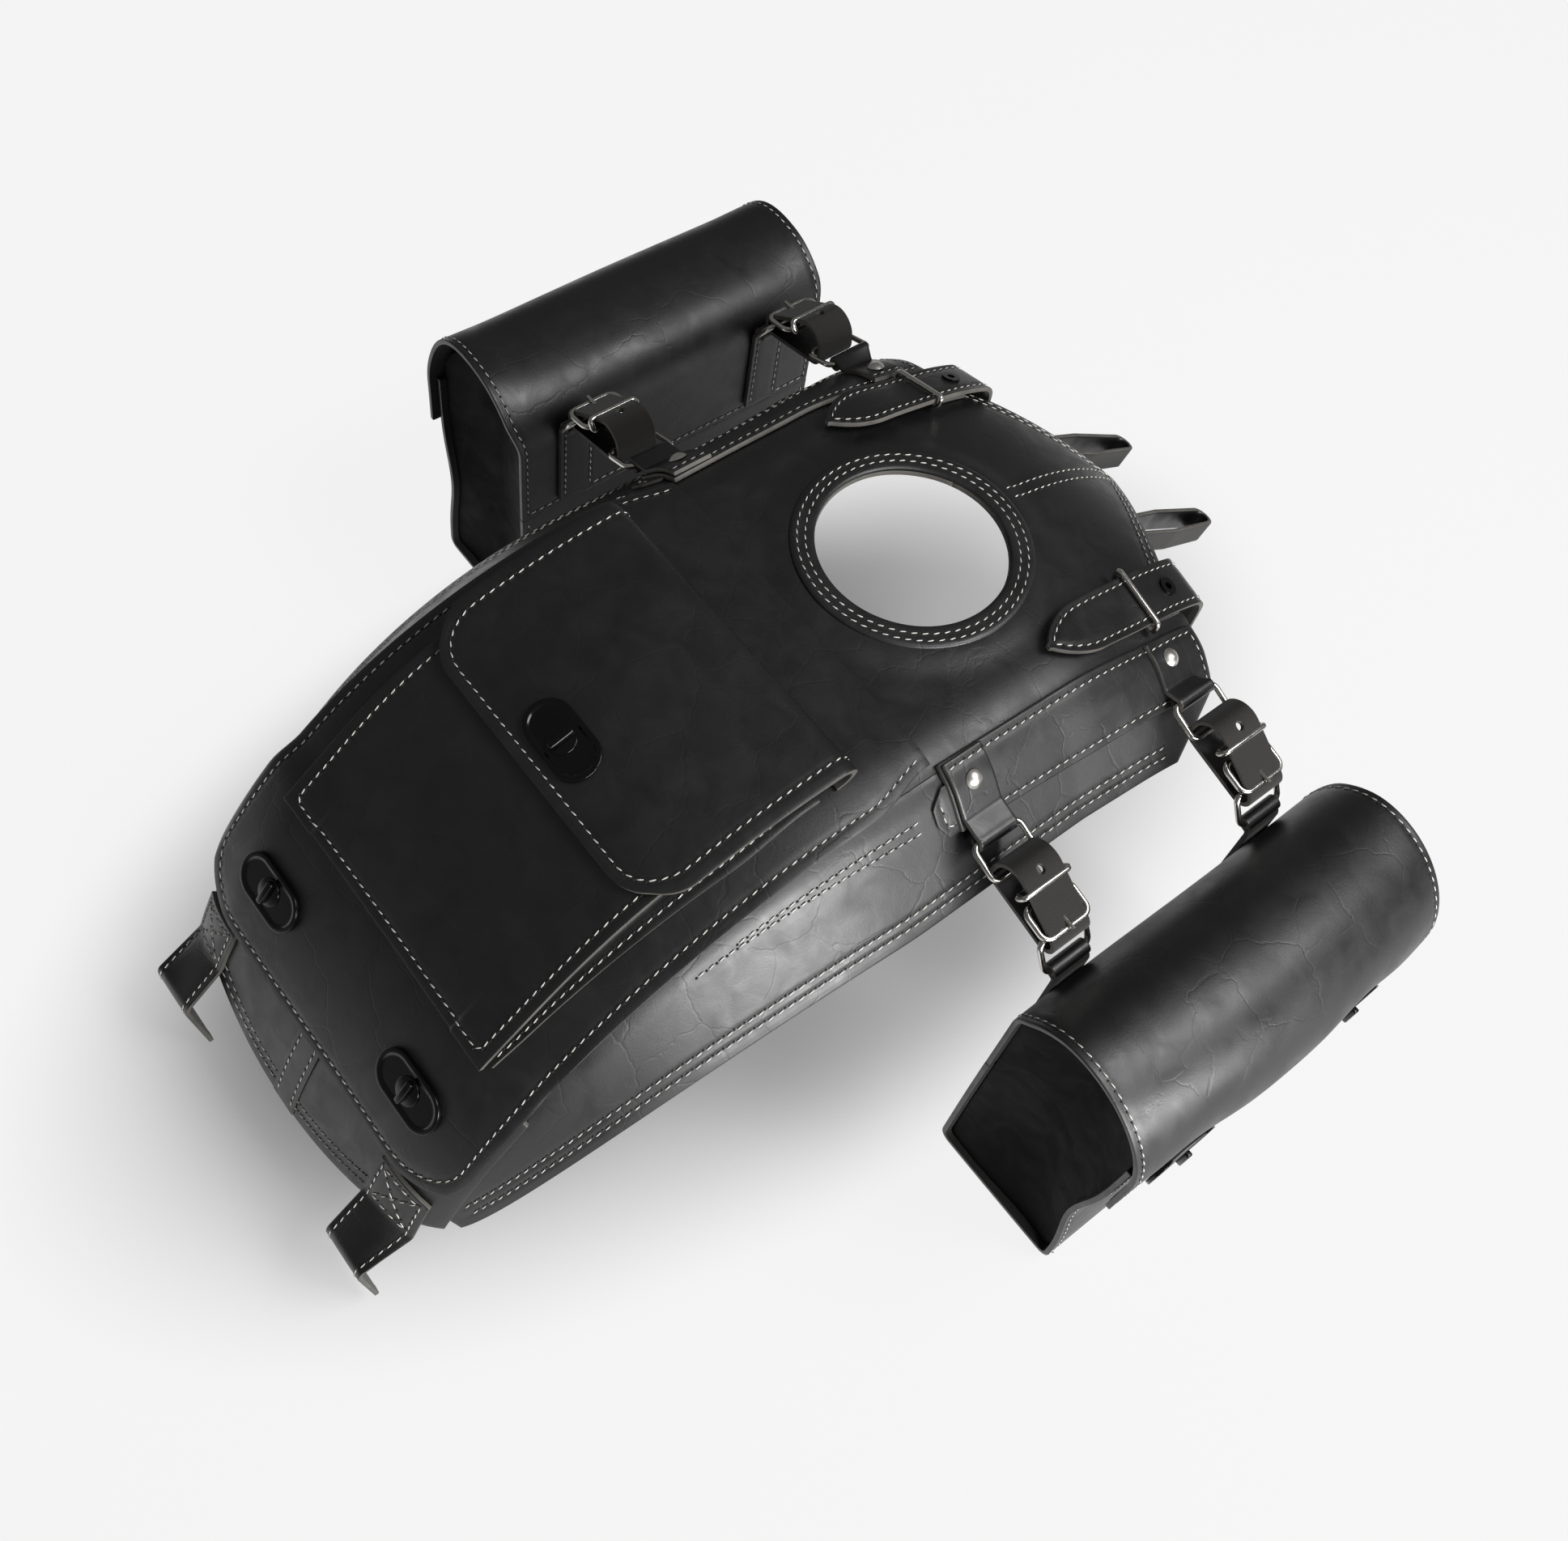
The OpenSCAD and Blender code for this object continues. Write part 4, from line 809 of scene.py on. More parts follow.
def strap_normal(run):
    d = strap_foot(run + 1) - strap_foot(run - 1)
    return unit(np.stack([-d[..., 1], d[..., 0]], -1))


def strap_slope(run):
    rise = strap_edge(run, STRAP_X + STRAP_HALF) - strap_edge(run, STRAP_X - STRAP_HALF)
    return float(rise[..., 1] / (2 * STRAP_HALF))


def beside(run, lift):
    return strap_foot(run) + lift * strap_normal(run)


def point_half(along):
    """Half width of a strap at a distance from its pointed end."""
    radius = (POINT ** 2 + STRAP_HALF ** 2) / (2 * STRAP_HALF)
    inside = np.maximum(radius ** 2 - np.maximum(POINT - along, 0) ** 2, 0)
    return np.where(along >= POINT, STRAP_HALF, np.maximum(1.2, STRAP_HALF - radius + np.sqrt(inside)))


def front_straps():
    """Pointed straps over the front edge, through wire frames that chapes hold."""
    bend_run, top = FRONT_CORNER + 6.0, STRAP_LIFT + STRAP / 2
    runs = spread(STRAP_TIP, bend_run, 3)
    middle, slopes = [beside(r, top) for r in runs], [strap_slope(r) for r in runs]
    normal, centre = strap_normal(bend_run), beside(bend_run, STRAP_LIFT - BEND)
    outer = BEND + STRAP / 2
    middle += [centre + polar(a, outer) for a in np.linspace(math.atan2(normal[1], normal[0]), 0, 16)[1:]]
    middle += [centre + [outer, -d] for d in spread(0, TAIL, 4)[1:]]
    slopes += [slopes[-1]] * (len(middle) - len(slopes))
    place = loft([[[STRAP_X + t, y, z + t * slope] for t in np.linspace(-STRAP_HALF, STRAP_HALF, 5)]
                  for (y, z), slope in zip(middle, slopes)])
    marks = spread(0, place.length, 1.7)[:, None]
    share = edged((1, 0.94, 0.86, 0.77, 0.68), np.linspace(-0.55, 0.55, 9))
    line = np.concatenate([spread(STRAP_INSET, POINT, 3), spread(POINT + 3, place.length - 3, 6)])
    row = pairs(line, np.maximum((point_half(line) - STRAP_INSET) / STRAP_HALF, 0.02))
    eye = np.array([STRAP_X, *beside(EYE_RUN, top)])
    for name, side in SIDES:
        strap(side, name + "_front_tie", "apron", [name + "_front_strap"], place,
              pairs(marks, point_half(marks) / STRAP_HALF * share), [row, row * [1, -1]],
              holes=[(eye * [side, 1, 1], EYE)])
    runs = spread(82, FRONT_CORNER - 6, 3)[:, None]
    coords = pairs(runs, reach_at(runs, spread(STRAP_X - 12, STRAP_X + 12, 2)))
    half, slope = STRAP_HALF + WIRE_PLAY + WIRE, strap_slope(FRAME_RUN)
    low, high = beside(FRAME_RUN, FRAME_RISE + WIRE + SEAM), beside(FRAME_RUN, top + 0.4 + WIRE)
    for name, side in SIDES:
        strap(side, name + "_front_chape", "apron", ["front_chapes"], on_skin(SEAM + STRAP), coords)
        corners = [np.array([side * (STRAP_X + s * half), y, z + s * half * slope])
                   for (y, z), s in ((low, -1), (low, 1), (high, 1), (high, -1))]
        wire(name + "_front_frame", "apron", ["front_frames"], corners, 2.4, 1.5)


LOOP_X, LOOP_BACK, LOOP_HIGH = 35.0, 20, 14
LOOP_TURNS = ((16.0, 2.25), (66.0, 4.5), (118 - STRAP, 2.0))


def front_loops():
    """Closed straps that reach forward from below the front edge."""
    run = float(front_edge(LOOP_X)) - LOOP_BACK
    root = at(run, LOOP_X, -2 * PANEL - 0.5 - SEAM - LOOP_BACK ** 2 / (2 * FRONT_RADIUS))
    up, ahead = axes(run)
    outline = belt([((0, along), radius + STRAP) for along, radius in LOOP_TURNS], 49, 2.0)
    place = loft([[root + [x, 0, 0] + y * ahead - h * up for h in np.linspace(LOOP_HIGH, 0, 5)] for x, y in outline])
    coords = grid(np.linspace(0, place.length, len(outline)), np.linspace(-1, 1, 9))
    for name, side in SIDES:
        strap(side, name + "_tie_loop", "apron", ["front_loops"], place, coords, closed=True)


REAR_X, REAR_HALF, REAR_BEND = 84.0, 15.0, 9.0
REAR_OUT, REAR_DROP, REAR_TAIL = 28, 19, 44


def rear_straps():
    """Straps behind the main flap, sewn down with a crossed box and bent down at their ends."""
    run = rear_edge(REAR_X)
    centre = skin(run, reach_at(run, REAR_X))[1:] + [REAR_BEND - REAR_OUT, -REAR_DROP]
    start, end = math.radians(186), math.radians(146)
    outer = REAR_BEND + STRAP / 2
    down = np.array([-math.sin(start), math.cos(start)])
    middle = [centre + polar(start, outer) + d * down for d in spread(REAR_TAIL, 0, 4)[:-1]]
    middle += [centre + polar(a, outer) for a in np.linspace(start, end, 9)]
    xs = np.linspace(REAR_X - REAR_HALF, REAR_X + REAR_HALF, 7)
    rows = [[[x, y, z] for x in xs] for y, z in middle]
    rows += [at(run, reach_at(run, xs), POCKET_TOP + SEAM + STRAP) for run in spread(FLAP_REAR - 32, FLAP_REAR - 4, 3)]
    place = loft(rows)
    coords = grid(spread(0, place.length, 2), edged((1, 0.93, 0.84, 0.75, 0.66), (-0.4, -0.13, 0.13, 0.4)))
    rows = [pairs(spread(3, place.length - 3, 6), share) for share in (-0.78, 0.78)]
    top, low = place.length - 4, place.length - 26
    rows += [np.array([[a, -0.7], [b, 0.7]]) for a, b in ((top, top), (low, low), (top, low), (low, top))]
    for name, side in SIDES:
        strap(side, name + "_rear_tie", "apron", [name + "_rear_strap"], place, coords, rows)


# Main flap and map pocket
def drawn_in(run):
    """How far the sides of the main flap draw in near its fold."""
    return (FLAP_HALF - FOLD_HALF) * smooth((run - FLAP_FRONT + 40) / 40)


SPRING_FROM, SPRING_SPAN, SPRING_CURVE = 8, 19, 95


def main_flap():
    coords = flap_coords(FLAP_FRONT, FLAP_REAR, FLAP_CORNER,
                         lambda run: flap_width(run, FLAP_REAR, FLAP_CORNER, FLAP_HALF) - drawn_in(run))
    outline = rounded_outline(FLAP_FRONT - 4, FLAP_REAR, FLAP_HALF, FLAP_CORNER, 5)
    outline[:, 1] -= np.sign(outline[:, 1]) * drawn_in(outline[:, 0])

    def place(run, reach):
        """The flap is stiffer than the apron, so its edges spring off the shoulders."""
        run, reach = both(run, reach)
        past = np.clip(np.abs(reach) - flat_at(run) - SPRING_FROM, 0, SPRING_SPAN)
        return at(run, reach, flap_top(run) + past ** 2 / SPRING_CURVE * smooth((FLAP_FRONT - run) / 60))

    leather("main_flap_panel", "main_flap", ["main_flap"], place, coords, [outline],
            holes=[(main_lock(side)[0], LOCK_HOLE) for side in (1, -1)])


BELLOWS, WELT_DEEP, WELT_HIGH = 2.0, 4.6, 2.6


def map_pocket():
    """Pocket on the main flap, with bellows at its sides and a closed toe."""
    rim = np.array([*RIM, 12, 15.5, 19, 21.5, 22.6, 23.7, 25])
    runs = np.concatenate([MAP_REAR + np.array(RIM), spread(MAP_REAR + 12, MAP_FRONT, 4)])
    reach = np.concatenate([rim - MAP_HALF, spread(28 - MAP_HALF, MAP_HALF - 28, 4), MAP_HALF - rim[::-1]])
    line, half = spread(MAP_FRONT - 3, MAP_REAR + 5, 6), MAP_HALF - 5
    row = np.concatenate([pairs(line, half), pairs(MAP_REAR + 5, np.linspace(half, -half, 30)),
                          pairs(line[::-1], -half)])

    def front_of(run, reach):
        """Front of the pocket, stepped up over the folded ends of its bellows."""
        run, reach = both(run, reach)
        fade = 1 - smooth((run - MAP_REAR) / 34)
        return at(run, reach, map_top(run) + 1.3 * smooth((np.abs(reach) - MAP_HALF + 24) / 2.5) * fade)

    leather("map_pocket_panel", "main_flap", ["map_pocket"], front_of, grid(runs, reach), [row],
            holes=[strike_hole(*pocket_lock())])

    def fold(run, share):
        """Bellows from the pocket's edge down to a flange on the flap: share 0 at the pocket, 1 at the flange."""
        run, share = both(run, share)
        low, high = flap_top(run) + SEAM + 2.2, map_top(run) - PANEL - SEAM
        open_part = (run - MAP_REAR) / (MAP_FRONT - MAP_REAR)
        deep = 2 + 7 * open_part
        flange = 1.5 + 7 * open_part - 4 * smooth((open_part - 0.8) / 0.3)
        out = MAP_HALF + np.select([share < 0.2, share < 0.5, share < 0.7], [
            -0.5 - 7.5 * share, -2 - (share - 0.2) / 0.3 * (deep - 2), -deep + (share - 0.5) / 0.2 * (deep - 2)],
            -2 + (share - 0.7) / 0.3 * (flange + 2))
        rise = np.interp(share, (0, 0.2, 0.5, 0.7, 1), (1, 0.9, 0.5, 0.08, 0))
        return at(run, out, low + (high - low) * rise)

    runs = spread(MAP_REAR + 3, CREASE - 9, 4)
    for name, side in SIDES:
        strap(side, name + "_pocket_fold", "main_flap", ["pocket_gusset"], fold, grid(runs, np.linspace(0, 1, 22)),
              [pairs(runs[1:], 0.86)], thick=BELLOWS, face=PANEL_LEATHER)

    def toe(share, reach):
        share, reach = both(share, reach)
        run = np.full(reach.shape, MAP_REAR + 1.0)
        low, high = flap_top(run) + SEAM, map_top(run) - PANEL - SEAM
        return at(run, reach, low + (high - low) * (share + 1) / 2)

    leather("pocket_toe", "main_flap", ["pocket_gusset"], toe,
            grid(np.linspace(-1, 1, 6), spread(3 - MAP_HALF, MAP_HALF - 3, 4)), thick=BELLOWS, slot="strap_leather",
            face=SHADED_GUSSET_LEATHER)


def pocket_cover():
    """Flap over the pocket, rolled over at its front and sewn down under the roll, cut in one with its hinge."""
    top, low = float(cover_top(CREASE)), float(flap_top(CREASE)) + SEAM
    radius = (top - low) / 2
    ahead = axes(CREASE)[1]
    roll = math.pi * radius

    def place(run, reach):
        run, reach = both(run, reach)
        turn = math.pi / 2 - np.maximum(run - CREASE, 0) / radius
        flat = np.minimum(run, CREASE)
        lift = np.where(run > CREASE, low + radius + radius * np.sin(turn), cover_top(flat))
        past = np.where(run > CREASE, radius * np.cos(turn), 0)
        return at(flat, reach, lift) + past[..., None] * ahead

    coords = flap_coords(CREASE, HOOD_REAR, HOOD_CORNER,
                         lambda run: flap_width(run, HOOD_REAR, HOOD_CORNER, HOOD_HALF))
    turns = spread(CREASE, CREASE + roll - 1.5, 1.5)[1:]
    coords = np.concatenate([coords, grid(turns, coords[-1, :, 1])])
    row = rounded_outline(CREASE + roll - 3, HOOD_REAR, HOOD_HALF, HOOD_CORNER, 5)
    hinge = ("main_flap", "pocket_flap", (0, -0.1235, 0.0205), (0, -0.131, 0.0265))
    leather("pocket_cover", hinge, ["pocket_flap", "pocket_hood"], place, coords, [row],
            holes=[(pocket_lock()[0], LOCK_HOLE)])

    bm = bmesh.new()
    bmesh.ops.create_cone(bm, segments=24, radius1=1, radius2=1, depth=2 * HOOD_HALF - 6, cap_ends=True)
    bevel(bm, [e for f in bm.faces if len(f.verts) == 24 for e in f.edges], 0.2)
    for face in bm.faces:
        face.material_index = int(len(face.verts) == 24)
    turn = Matrix((ahead * WELT_DEEP, np.cross((1, 0, 0), ahead) * WELT_HIGH, (1, 0, 0))).transposed().to_4x4()
    turn.translation = Vector(at(CREASE - 1.5, 0.0, low + PANEL + 3.0))
    bmesh.ops.transform(bm, matrix=Matrix.Scale(MM, 4) @ turn, verts=bm.verts)
    bmesh.ops.recalc_face_normals(bm, faces=bm.faces)
    new_piece("pocket_welt", bm, "main_flap", (), "strap_leather", [STRAP_LEATHER, CUT_EDGE])


# Turn locks
PLATE_RADIUS, PLATE_STRETCH, PLATE_HIGH, PLATE_RIM = 12.5, 10, 2.4, 2.4
DISH_WALL, DISH_STEP = 0.9, 1.2
KNOB_RADIUS, KNOB_LOW, KNOB_HIGH, SHAFT = 7.4, 1.4, 1.2, 2
GRIP, BLADE = (3.6, 13.6, 3.4), (15, 4, 1.2)


def raise_faces(bm, height):
    """Upper faces of a plate made by raising all the faces."""
    grown = bmesh.ops.extrude_face_region(bm, geom=list(bm.faces))["geom"]
    bmesh.ops.translate(bm, verts=verts_in(grown), vec=(0, 0, height))
    return [g for g in grown if isinstance(g, bmesh.types.BMFace)]


def sharp_edges(bm):
    return [e for e in bm.edges if len(e.link_faces) == 2 and e.calc_face_angle(0) > 0.5]


def block(bm, size, height):
    """Corners of a block whose middle is at a height."""
    corners = bmesh.ops.create_cube(bm, size=1)["verts"]
    bmesh.ops.scale(bm, verts=corners, vec=size)
    bmesh.ops.translate(bm, verts=corners, vec=(0, 0, height))
    return corners


def lock_pieces(name, plate_body, plate_node, knob, spot, normal, up):
    """Oval plate with a raised rim and a turn knob in its middle."""
    place = Matrix((np.cross(up, normal), up, normal)).transposed().to_4x4()
    place.translation = Vector(spot)
    place = Matrix.Scale(MM, 4) @ place
    plate = bmesh.new()
    bmesh.ops.create_circle(plate, segments=64, radius=PLATE_RADIUS, cap_ends=True)
    for v in plate.verts:
        v.co.x += math.copysign(PLATE_STRETCH, v.co.x) if abs(v.co.x) > 1e-4 else 0
        v.co.z = SEAM
    face = raise_faces(plate, PLATE_HIGH)
    bmesh.ops.inset_region(plate, faces=face, thickness=PLATE_RIM)
    bmesh.ops.inset_region(plate, faces=face, thickness=DISH_WALL, depth=-DISH_WALL)
    bmesh.ops.inset_region(plate, faces=face, thickness=DISH_STEP)
    bevel(plate, sharp_edges(plate), 0.35)
    turned = bmesh.new()
    bmesh.ops.create_circle(turned, segments=48, radius=KNOB_RADIUS, cap_ends=True)
    bmesh.ops.translate(turned, verts=turned.verts, vec=(0, 0, KNOB_LOW))
    raise_faces(turned, KNOB_HIGH)
    bevel(turned, sharp_edges(turned), 0.4)
    grip = set(block(turned, GRIP, 3.9))
    bevel(turned, [e for e in turned.edges if e.verts[0] in grip], 0.9, 3)
    shaft = bmesh.ops.create_cone(turned, segments=24, radius1=SHAFT, radius2=SHAFT, depth=8, cap_ends=True)["verts"]
    bmesh.ops.translate(turned, verts=shaft, vec=(0, 0, -2.4))
    block(turned, BLADE, -PANEL - FLAP_GAP - SEAM - BLADE[2] / 2)
    for bm, part, body, node in ((plate, "_plate", plate_body, plate_node), (turned, "_knob", knob, knob)):
        bmesh.ops.recalc_face_normals(bm, faces=bm.faces)
        bmesh.ops.transform(bm, matrix=place, verts=bm.verts)
        new_piece(name + part, bm, body, [node], "black_metal", [ENAMEL])


def locks():
    for name, side in SIDES:
        lock_pieces(name + "_main_lock", "main_flap", "main_lock_plates", name + "_main_knob", *main_lock(side))
        for end, y in BAG_LOCKS:
            label = "%s_bag_%s" % (name, end)
            lock_pieces(label + "_lock", name + "_bag_flap", name + "_bag_lock_plates", label + "_knob",
                        np.array([side * BAG_FACE, y, BAG_LOCK_Z]), np.array([side, 0, 0.0]), np.array([0, 0, 1.0]))
    lock_pieces("pocket_lock", "pocket_flap", "pocket_lock_plate", "pocket_knob", *pocket_lock())


# Side bags
BAG_BACK, BAG_FACE, BAG_CROWN, BAG_BOTTOM = 207.0, 300.0, -37.0, -240.0
SKIRT_BOTTOM, SKIRT_TOP, ARCH = -122.0, -90.0, 38.0
ARCH_X, ARCH_Z = BAG_BACK + ARCH, BAG_CROWN - ARCH
BAG_MID, BAG_HALF, WRAP_HALF = 12.0, 113.0, 109.0
CREASE_ANGLE = 140.0
PANEL_FACE, PANEL_TOP = BAG_FACE - PANEL - FLAP_GAP, -86
BAG_CORNER = 7.0
BACK_SEAM = -128.0
BAG_LOCKS, BAG_LOCK_Z = (("rear", -61.0), ("front", 65.0)), -104
WAIST, PINCH, LOCK_HOLD = -172, 6.5, 26
# Swell over the load, sag, flare of the ends and ridge along the crown, in each bag's cover
COVER_SHAPES = {1: (7.0, 0.5, 1.5, 0.0), -1: (0.5, 2.0, 2.0, 7.0)}


def arch(angle, inset=0.0):
    """Point on the round top of a bag, from 0 at its face to 180 at its back."""
    c, s = polar(math.radians(angle))
    if angle > 90:
        return np.array([ARCH_X + (ARCH - inset) * c, ARCH_Z + (ARCH - inset) * s])
    return np.array([ARCH_X + (BAG_FACE - ARCH_X - inset) * c, SKIRT_TOP + (BAG_CROWN - SKIRT_TOP - inset) * s])


def along_path(path):
    """Surface of a path in the XZ plane, by the distance along it and Y."""
    path = np.array(path)
    marks = lengths(path)
    first, last = unit(path[1] - path[0]), unit(path[-1] - path[-2])

    def place(a, y):
        a, y = both(a, y)
        inside, before, after = np.clip(a, 0, marks[-1]), np.minimum(a, 0), np.maximum(a - marks[-1], 0)
        x, z = [np.interp(inside, marks, path[:, k]) + before * first[k] + after * last[k] for k in (0, 1)]
        return np.stack([x, y, z], -1)

    place.length = marks[-1]
    return place


def upright(x, start, end, step):
    return [np.array([x, z]) for z in spread(start, end, step)]


def bag_cover_place(side):
    """Flap and back of a bag in one: it swells over the load, is drawn in by its locks and flares at its ends."""
    path = upright(BAG_FACE, SKIRT_BOTTOM, SKIRT_TOP, 4)[:-1]
    path += [arch(a) for a in np.linspace(0, CREASE_ANGLE, 60)]
    fold = lengths(np.array(path))[-1]
    path += [arch(a) for a in np.linspace(CREASE_ANGLE, 180, 14)[1:]]
    path += upright(BAG_BACK, ARCH_Z, BACK_SEAM, 5)[1:]
    flat = along_path(path)
    belly, sag, flare, ridge = COVER_SHAPES[side]

    def place(a, y):
        a, y = both(a, y)
        share, part = a / fold, (y - BAG_MID) / BAG_HALF
        out = belly * np.sin(math.pi * np.clip(share * 1.1, 0, 1)) * (1 - np.abs(part) ** 2.6)
        crown = np.exp(-((share - 0.74) / 0.2) ** 2) * (1 - smooth((share - 0.84) / 0.16))
        out = out + crown * (flare * smooth((np.abs(part) - 0.7) / 0.3) - sag * (1 - part ** 2))
        out = out + ridge * np.exp(-((share - 0.6) / 0.17) ** 2)
        for _, spot in BAG_LOCKS:
            out = out * (1 - np.exp(-((a - BAG_LOCK_Z + SKIRT_BOTTOM) ** 2 + (y - spot) ** 2) / LOCK_HOLD ** 2))
        pull = 6 * smooth((part - 0.5) / 0.5) * np.maximum(1 - share, 0) ** 2
        pull = pull + part * (BAG_HALF - WRAP_HALF) * smooth((a - fold) / 25)
        return flat(a, y - pull) + out[..., None] * face_normal(flat, a, y)

    place.length = flat.length
    return place


def pinch(z):
    """How far the front of a bag is drawn in at its ends."""
    return PINCH * np.exp(-((z - WAIST) / 32) ** 2)


def bag_wrap_place():
    """Back, bottom and front of a bag in one piece, with a slack front."""
    corner_z = BAG_BOTTOM + BAG_CORNER
    path = upright(BAG_BACK, BACK_SEAM - SEAM, corner_z + 2, 5)
    for x, start in ((BAG_BACK + BAG_CORNER, 180), (PANEL_FACE - BAG_CORNER, 270)):
        path += [np.array([x, corner_z]) + polar(a, BAG_CORNER) for a in np.radians(np.linspace(start, start + 90, 8))]
    path += upright(PANEL_FACE, corner_z + 4, PANEL_TOP, 5)
    flat = along_path(path)

    def place(a, y):
        a, y = both(a, y)
        spot, part = flat(a, y), (y - BAG_MID) / WRAP_HALF
        z = spot[..., 2]
        front = smooth((spot[..., 0] - PANEL_FACE + 5) / 5)
        out = 2.5 * (1 - part ** 2) * np.exp(-((z - WAIST) / 40) ** 2) - pinch(z) * smooth((np.abs(part) - 0.55) / 0.45)
        return spot + (front * out)[..., None] * face_normal(flat, a, y)

    place.length = flat.length
    return place


def rimmed(low, high, step, rim=(0, 1.1, 2.4, 3.8, 5.2, 6.6, 8.6)):
    """Values from low to high, close together at both ends."""
    rim = np.array(rim)
    return np.concatenate([low + rim, spread(low + rim[-1] + step, high - rim[-1] - step, step), high - rim[::-1]])


def side_rows(line, middle, half):
    return [pairs(line, middle + s * half) for s in (-1, 1)]


def bags():
    wrap = bag_wrap_place()
    for name, side in SIDES:
        body = name + "_bag"
        place = bag_cover_place(side)
        across = spread(BAG_MID - BAG_HALF + 5, BAG_MID + BAG_HALF - 5, 6)
        rows = side_rows(spread(3, place.length - 4, 5), BAG_MID, BAG_HALF - 4)
        rows += [pairs(a, across) for a in (4.0, place.length - 4)]
        crease = np.array([side * arch(CREASE_ANGLE)[0], BAG_MID, arch(CREASE_ANGLE)[1]])
        lean = 4 * np.array([side * 0.9, 0, 0.43])
        hinge = (body, name + "_bag_flap", tuple((crease - lean) * MM), tuple((crease + lean) * MM))
        cut(side, name + "_bag_cover", hinge, [name + "_bag_flap"], place,
            grid(rimmed(0, place.length, 3.5), rimmed(BAG_MID - BAG_HALF, BAG_MID + BAG_HALF, 5)), rows, raw=False)
        cut(side, name + "_bag_body", body, [name + "_bag_wrap"], wrap,
            grid(spread(0, wrap.length, 3), rimmed(BAG_MID - WRAP_HALF, BAG_MID + WRAP_HALF, 5)),
            side_rows(spread(4, wrap.length - 3, 5), BAG_MID, WRAP_HALF - 4), raw=False,
            holes=[(np.array([side * PANEL_FACE, y, BAG_LOCK_Z + STRIKE_UP]), STRIKE_HOLE) for _, y in BAG_LOCKS])
        bag_gussets(name, side, body)
        hangers(name, side, body)


def bag_gussets(name, side, body):
    """Soft ends of a bag, folded inwards in a Y."""
    back, front = BAG_BACK + PANEL + SEAM, PANEL_FACE - PANEL - SEAM
    low = BAG_BOTTOM + PANEL + SEAM
    mid, half = (back + front) / 2, (front - back) / 2
    tops = np.array([arch(a, PANEL + FLAP_GAP) for a in np.linspace(0, 180, 90)])
    tops = tops[np.argsort(tops[:, 0])]
    for end, sign in (("rear", -1), ("front", 1)):
        def place(rise, across, sign=sign):
            rise, across = both(rise, across)
            x = mid + half * across
            z = low + (np.interp(x, tops[:, 0], tops[:, 1]) - low) * rise
            slack = -np.log(np.exp(-8 * (1 - np.abs(across))) + np.exp(-8 * (z - low) / 75)) / 8
            depth = 14 * np.maximum(slack, 0) + 1.2 * np.sin(rise * 9 + across * 2) * (1 - across ** 2)
            x = x - pinch(z) * smooth((across - 0.1) / 0.9)
            return np.stack([x, BAG_MID + sign * (WRAP_HALF - 4 - depth), z], -1)

        strap(side, "%s_bag_%s_gusset" % (name, end), body, [name + "_bag_gussets"], place,
              grid(np.linspace(0, 1, 70), sign * np.linspace(1, -1, 41)), thick=PANEL, face=SHADED_GUSSET_LEATHER, raw=False)


# Hangers: places in the XZ plane of a bag
RING_LOW = np.array([156.794, -33.8404])
BAG_BAR = np.array([190.802, -42.0653])
TAB_BAR = np.array([201.15, -58.0])
BULGE, BULGE_RADIUS, RING_RADIUS = np.array([162.794, -29.8404]), 10.0, 4.65
STRAP_FALL = math.radians(-33.6627)
STRAP_ALONG = polar(STRAP_FALL)
STRAP_OUT = np.array([-math.sin(STRAP_FALL), math.cos(STRAP_FALL)])
WIRE_HALF = HANGER_HALF + WIRE_PLAY + WIRE


def on_strap(along, out):
    return BULGE + (BULGE_RADIUS - STRAP / 2 + out) * STRAP_OUT + along * STRAP_ALONG


def hangers(name, side, body):
    """Rings, buckled straps and back tabs that hang a bag on the shoulder tabs."""
    bar_out = STRAP / 2 + SEAM + WIRE
    frames = (("upper_ring", "_rings", SWING, RING_LOW, 4.5), ("lower_ring", "_rings", BAG_BAR, TAB_BAR, 4.5),
              ("buckle", "_buckles", on_strap(12, -bar_out), on_strap(29, bar_out), 5.0),
              ("keeper", "_buckles", on_strap(5, -bar_out), on_strap(5, bar_out), 2.0))
    outline = belt(((RING_LOW, RING_RADIUS), (BULGE, BULGE_RADIUS), (BAG_BAR, RING_RADIUS)), 65, 1.3)[::-1]
    share = edged((1, 0.94, 0.86), np.linspace(-0.75, 0.75, 15))
    hole_x, hole_z = on_strap(-2, STRAP / 2)
    tail = upright(BAG_BACK - SEAM - STRAP, TAB_BAR[1] - 64, TAB_BAR[1] - 4, 4)
    tab = along_path(tail + [TAB_BAR + polar(a, SLEEVE) for a in np.radians(np.linspace(200, -10, 22))])
    for end, run in zip(("rear", "front"), HANGERS):
        label, y = "%s_%s_" % (name, end), crown_y(run)
        for part, nodes, a, b, turn in frames:
            corners = [np.array([side * x, y + s * WIRE_HALF, z]) for (x, z), s in ((a, -1), (a, 1), (b, 1), (b, -1))]
            wire(label + part, body, [name + nodes], corners, turn, WIRE)
        place = loft([[[x, y + HANGER_HALF * t, z] for t in np.linspace(-1, 1, 5)] for x, z in outline])
        strap(side, label + "hanger", body, [name + "_hanger_straps"], place,
              grid(np.linspace(0, place.length, len(outline)), share), closed=True, edge=0.5,
              holes=[(np.array([side * hole_x, y, hole_z]), 2.2)])
        ys = rimmed(y - HANGER_HALF, y + HANGER_HALF, 3, (0, 1, 2.2, 3.4, 4.8))
        strap(side, label + "bag_tab", body, [name + "_bag_tabs"], lambda a, b: tab(a, -np.asarray(b)),
              grid(spread(0, tab.length, 1.5), -ys[::-1]), side_rows(spread(3, 58, 5), -y, -8.8))


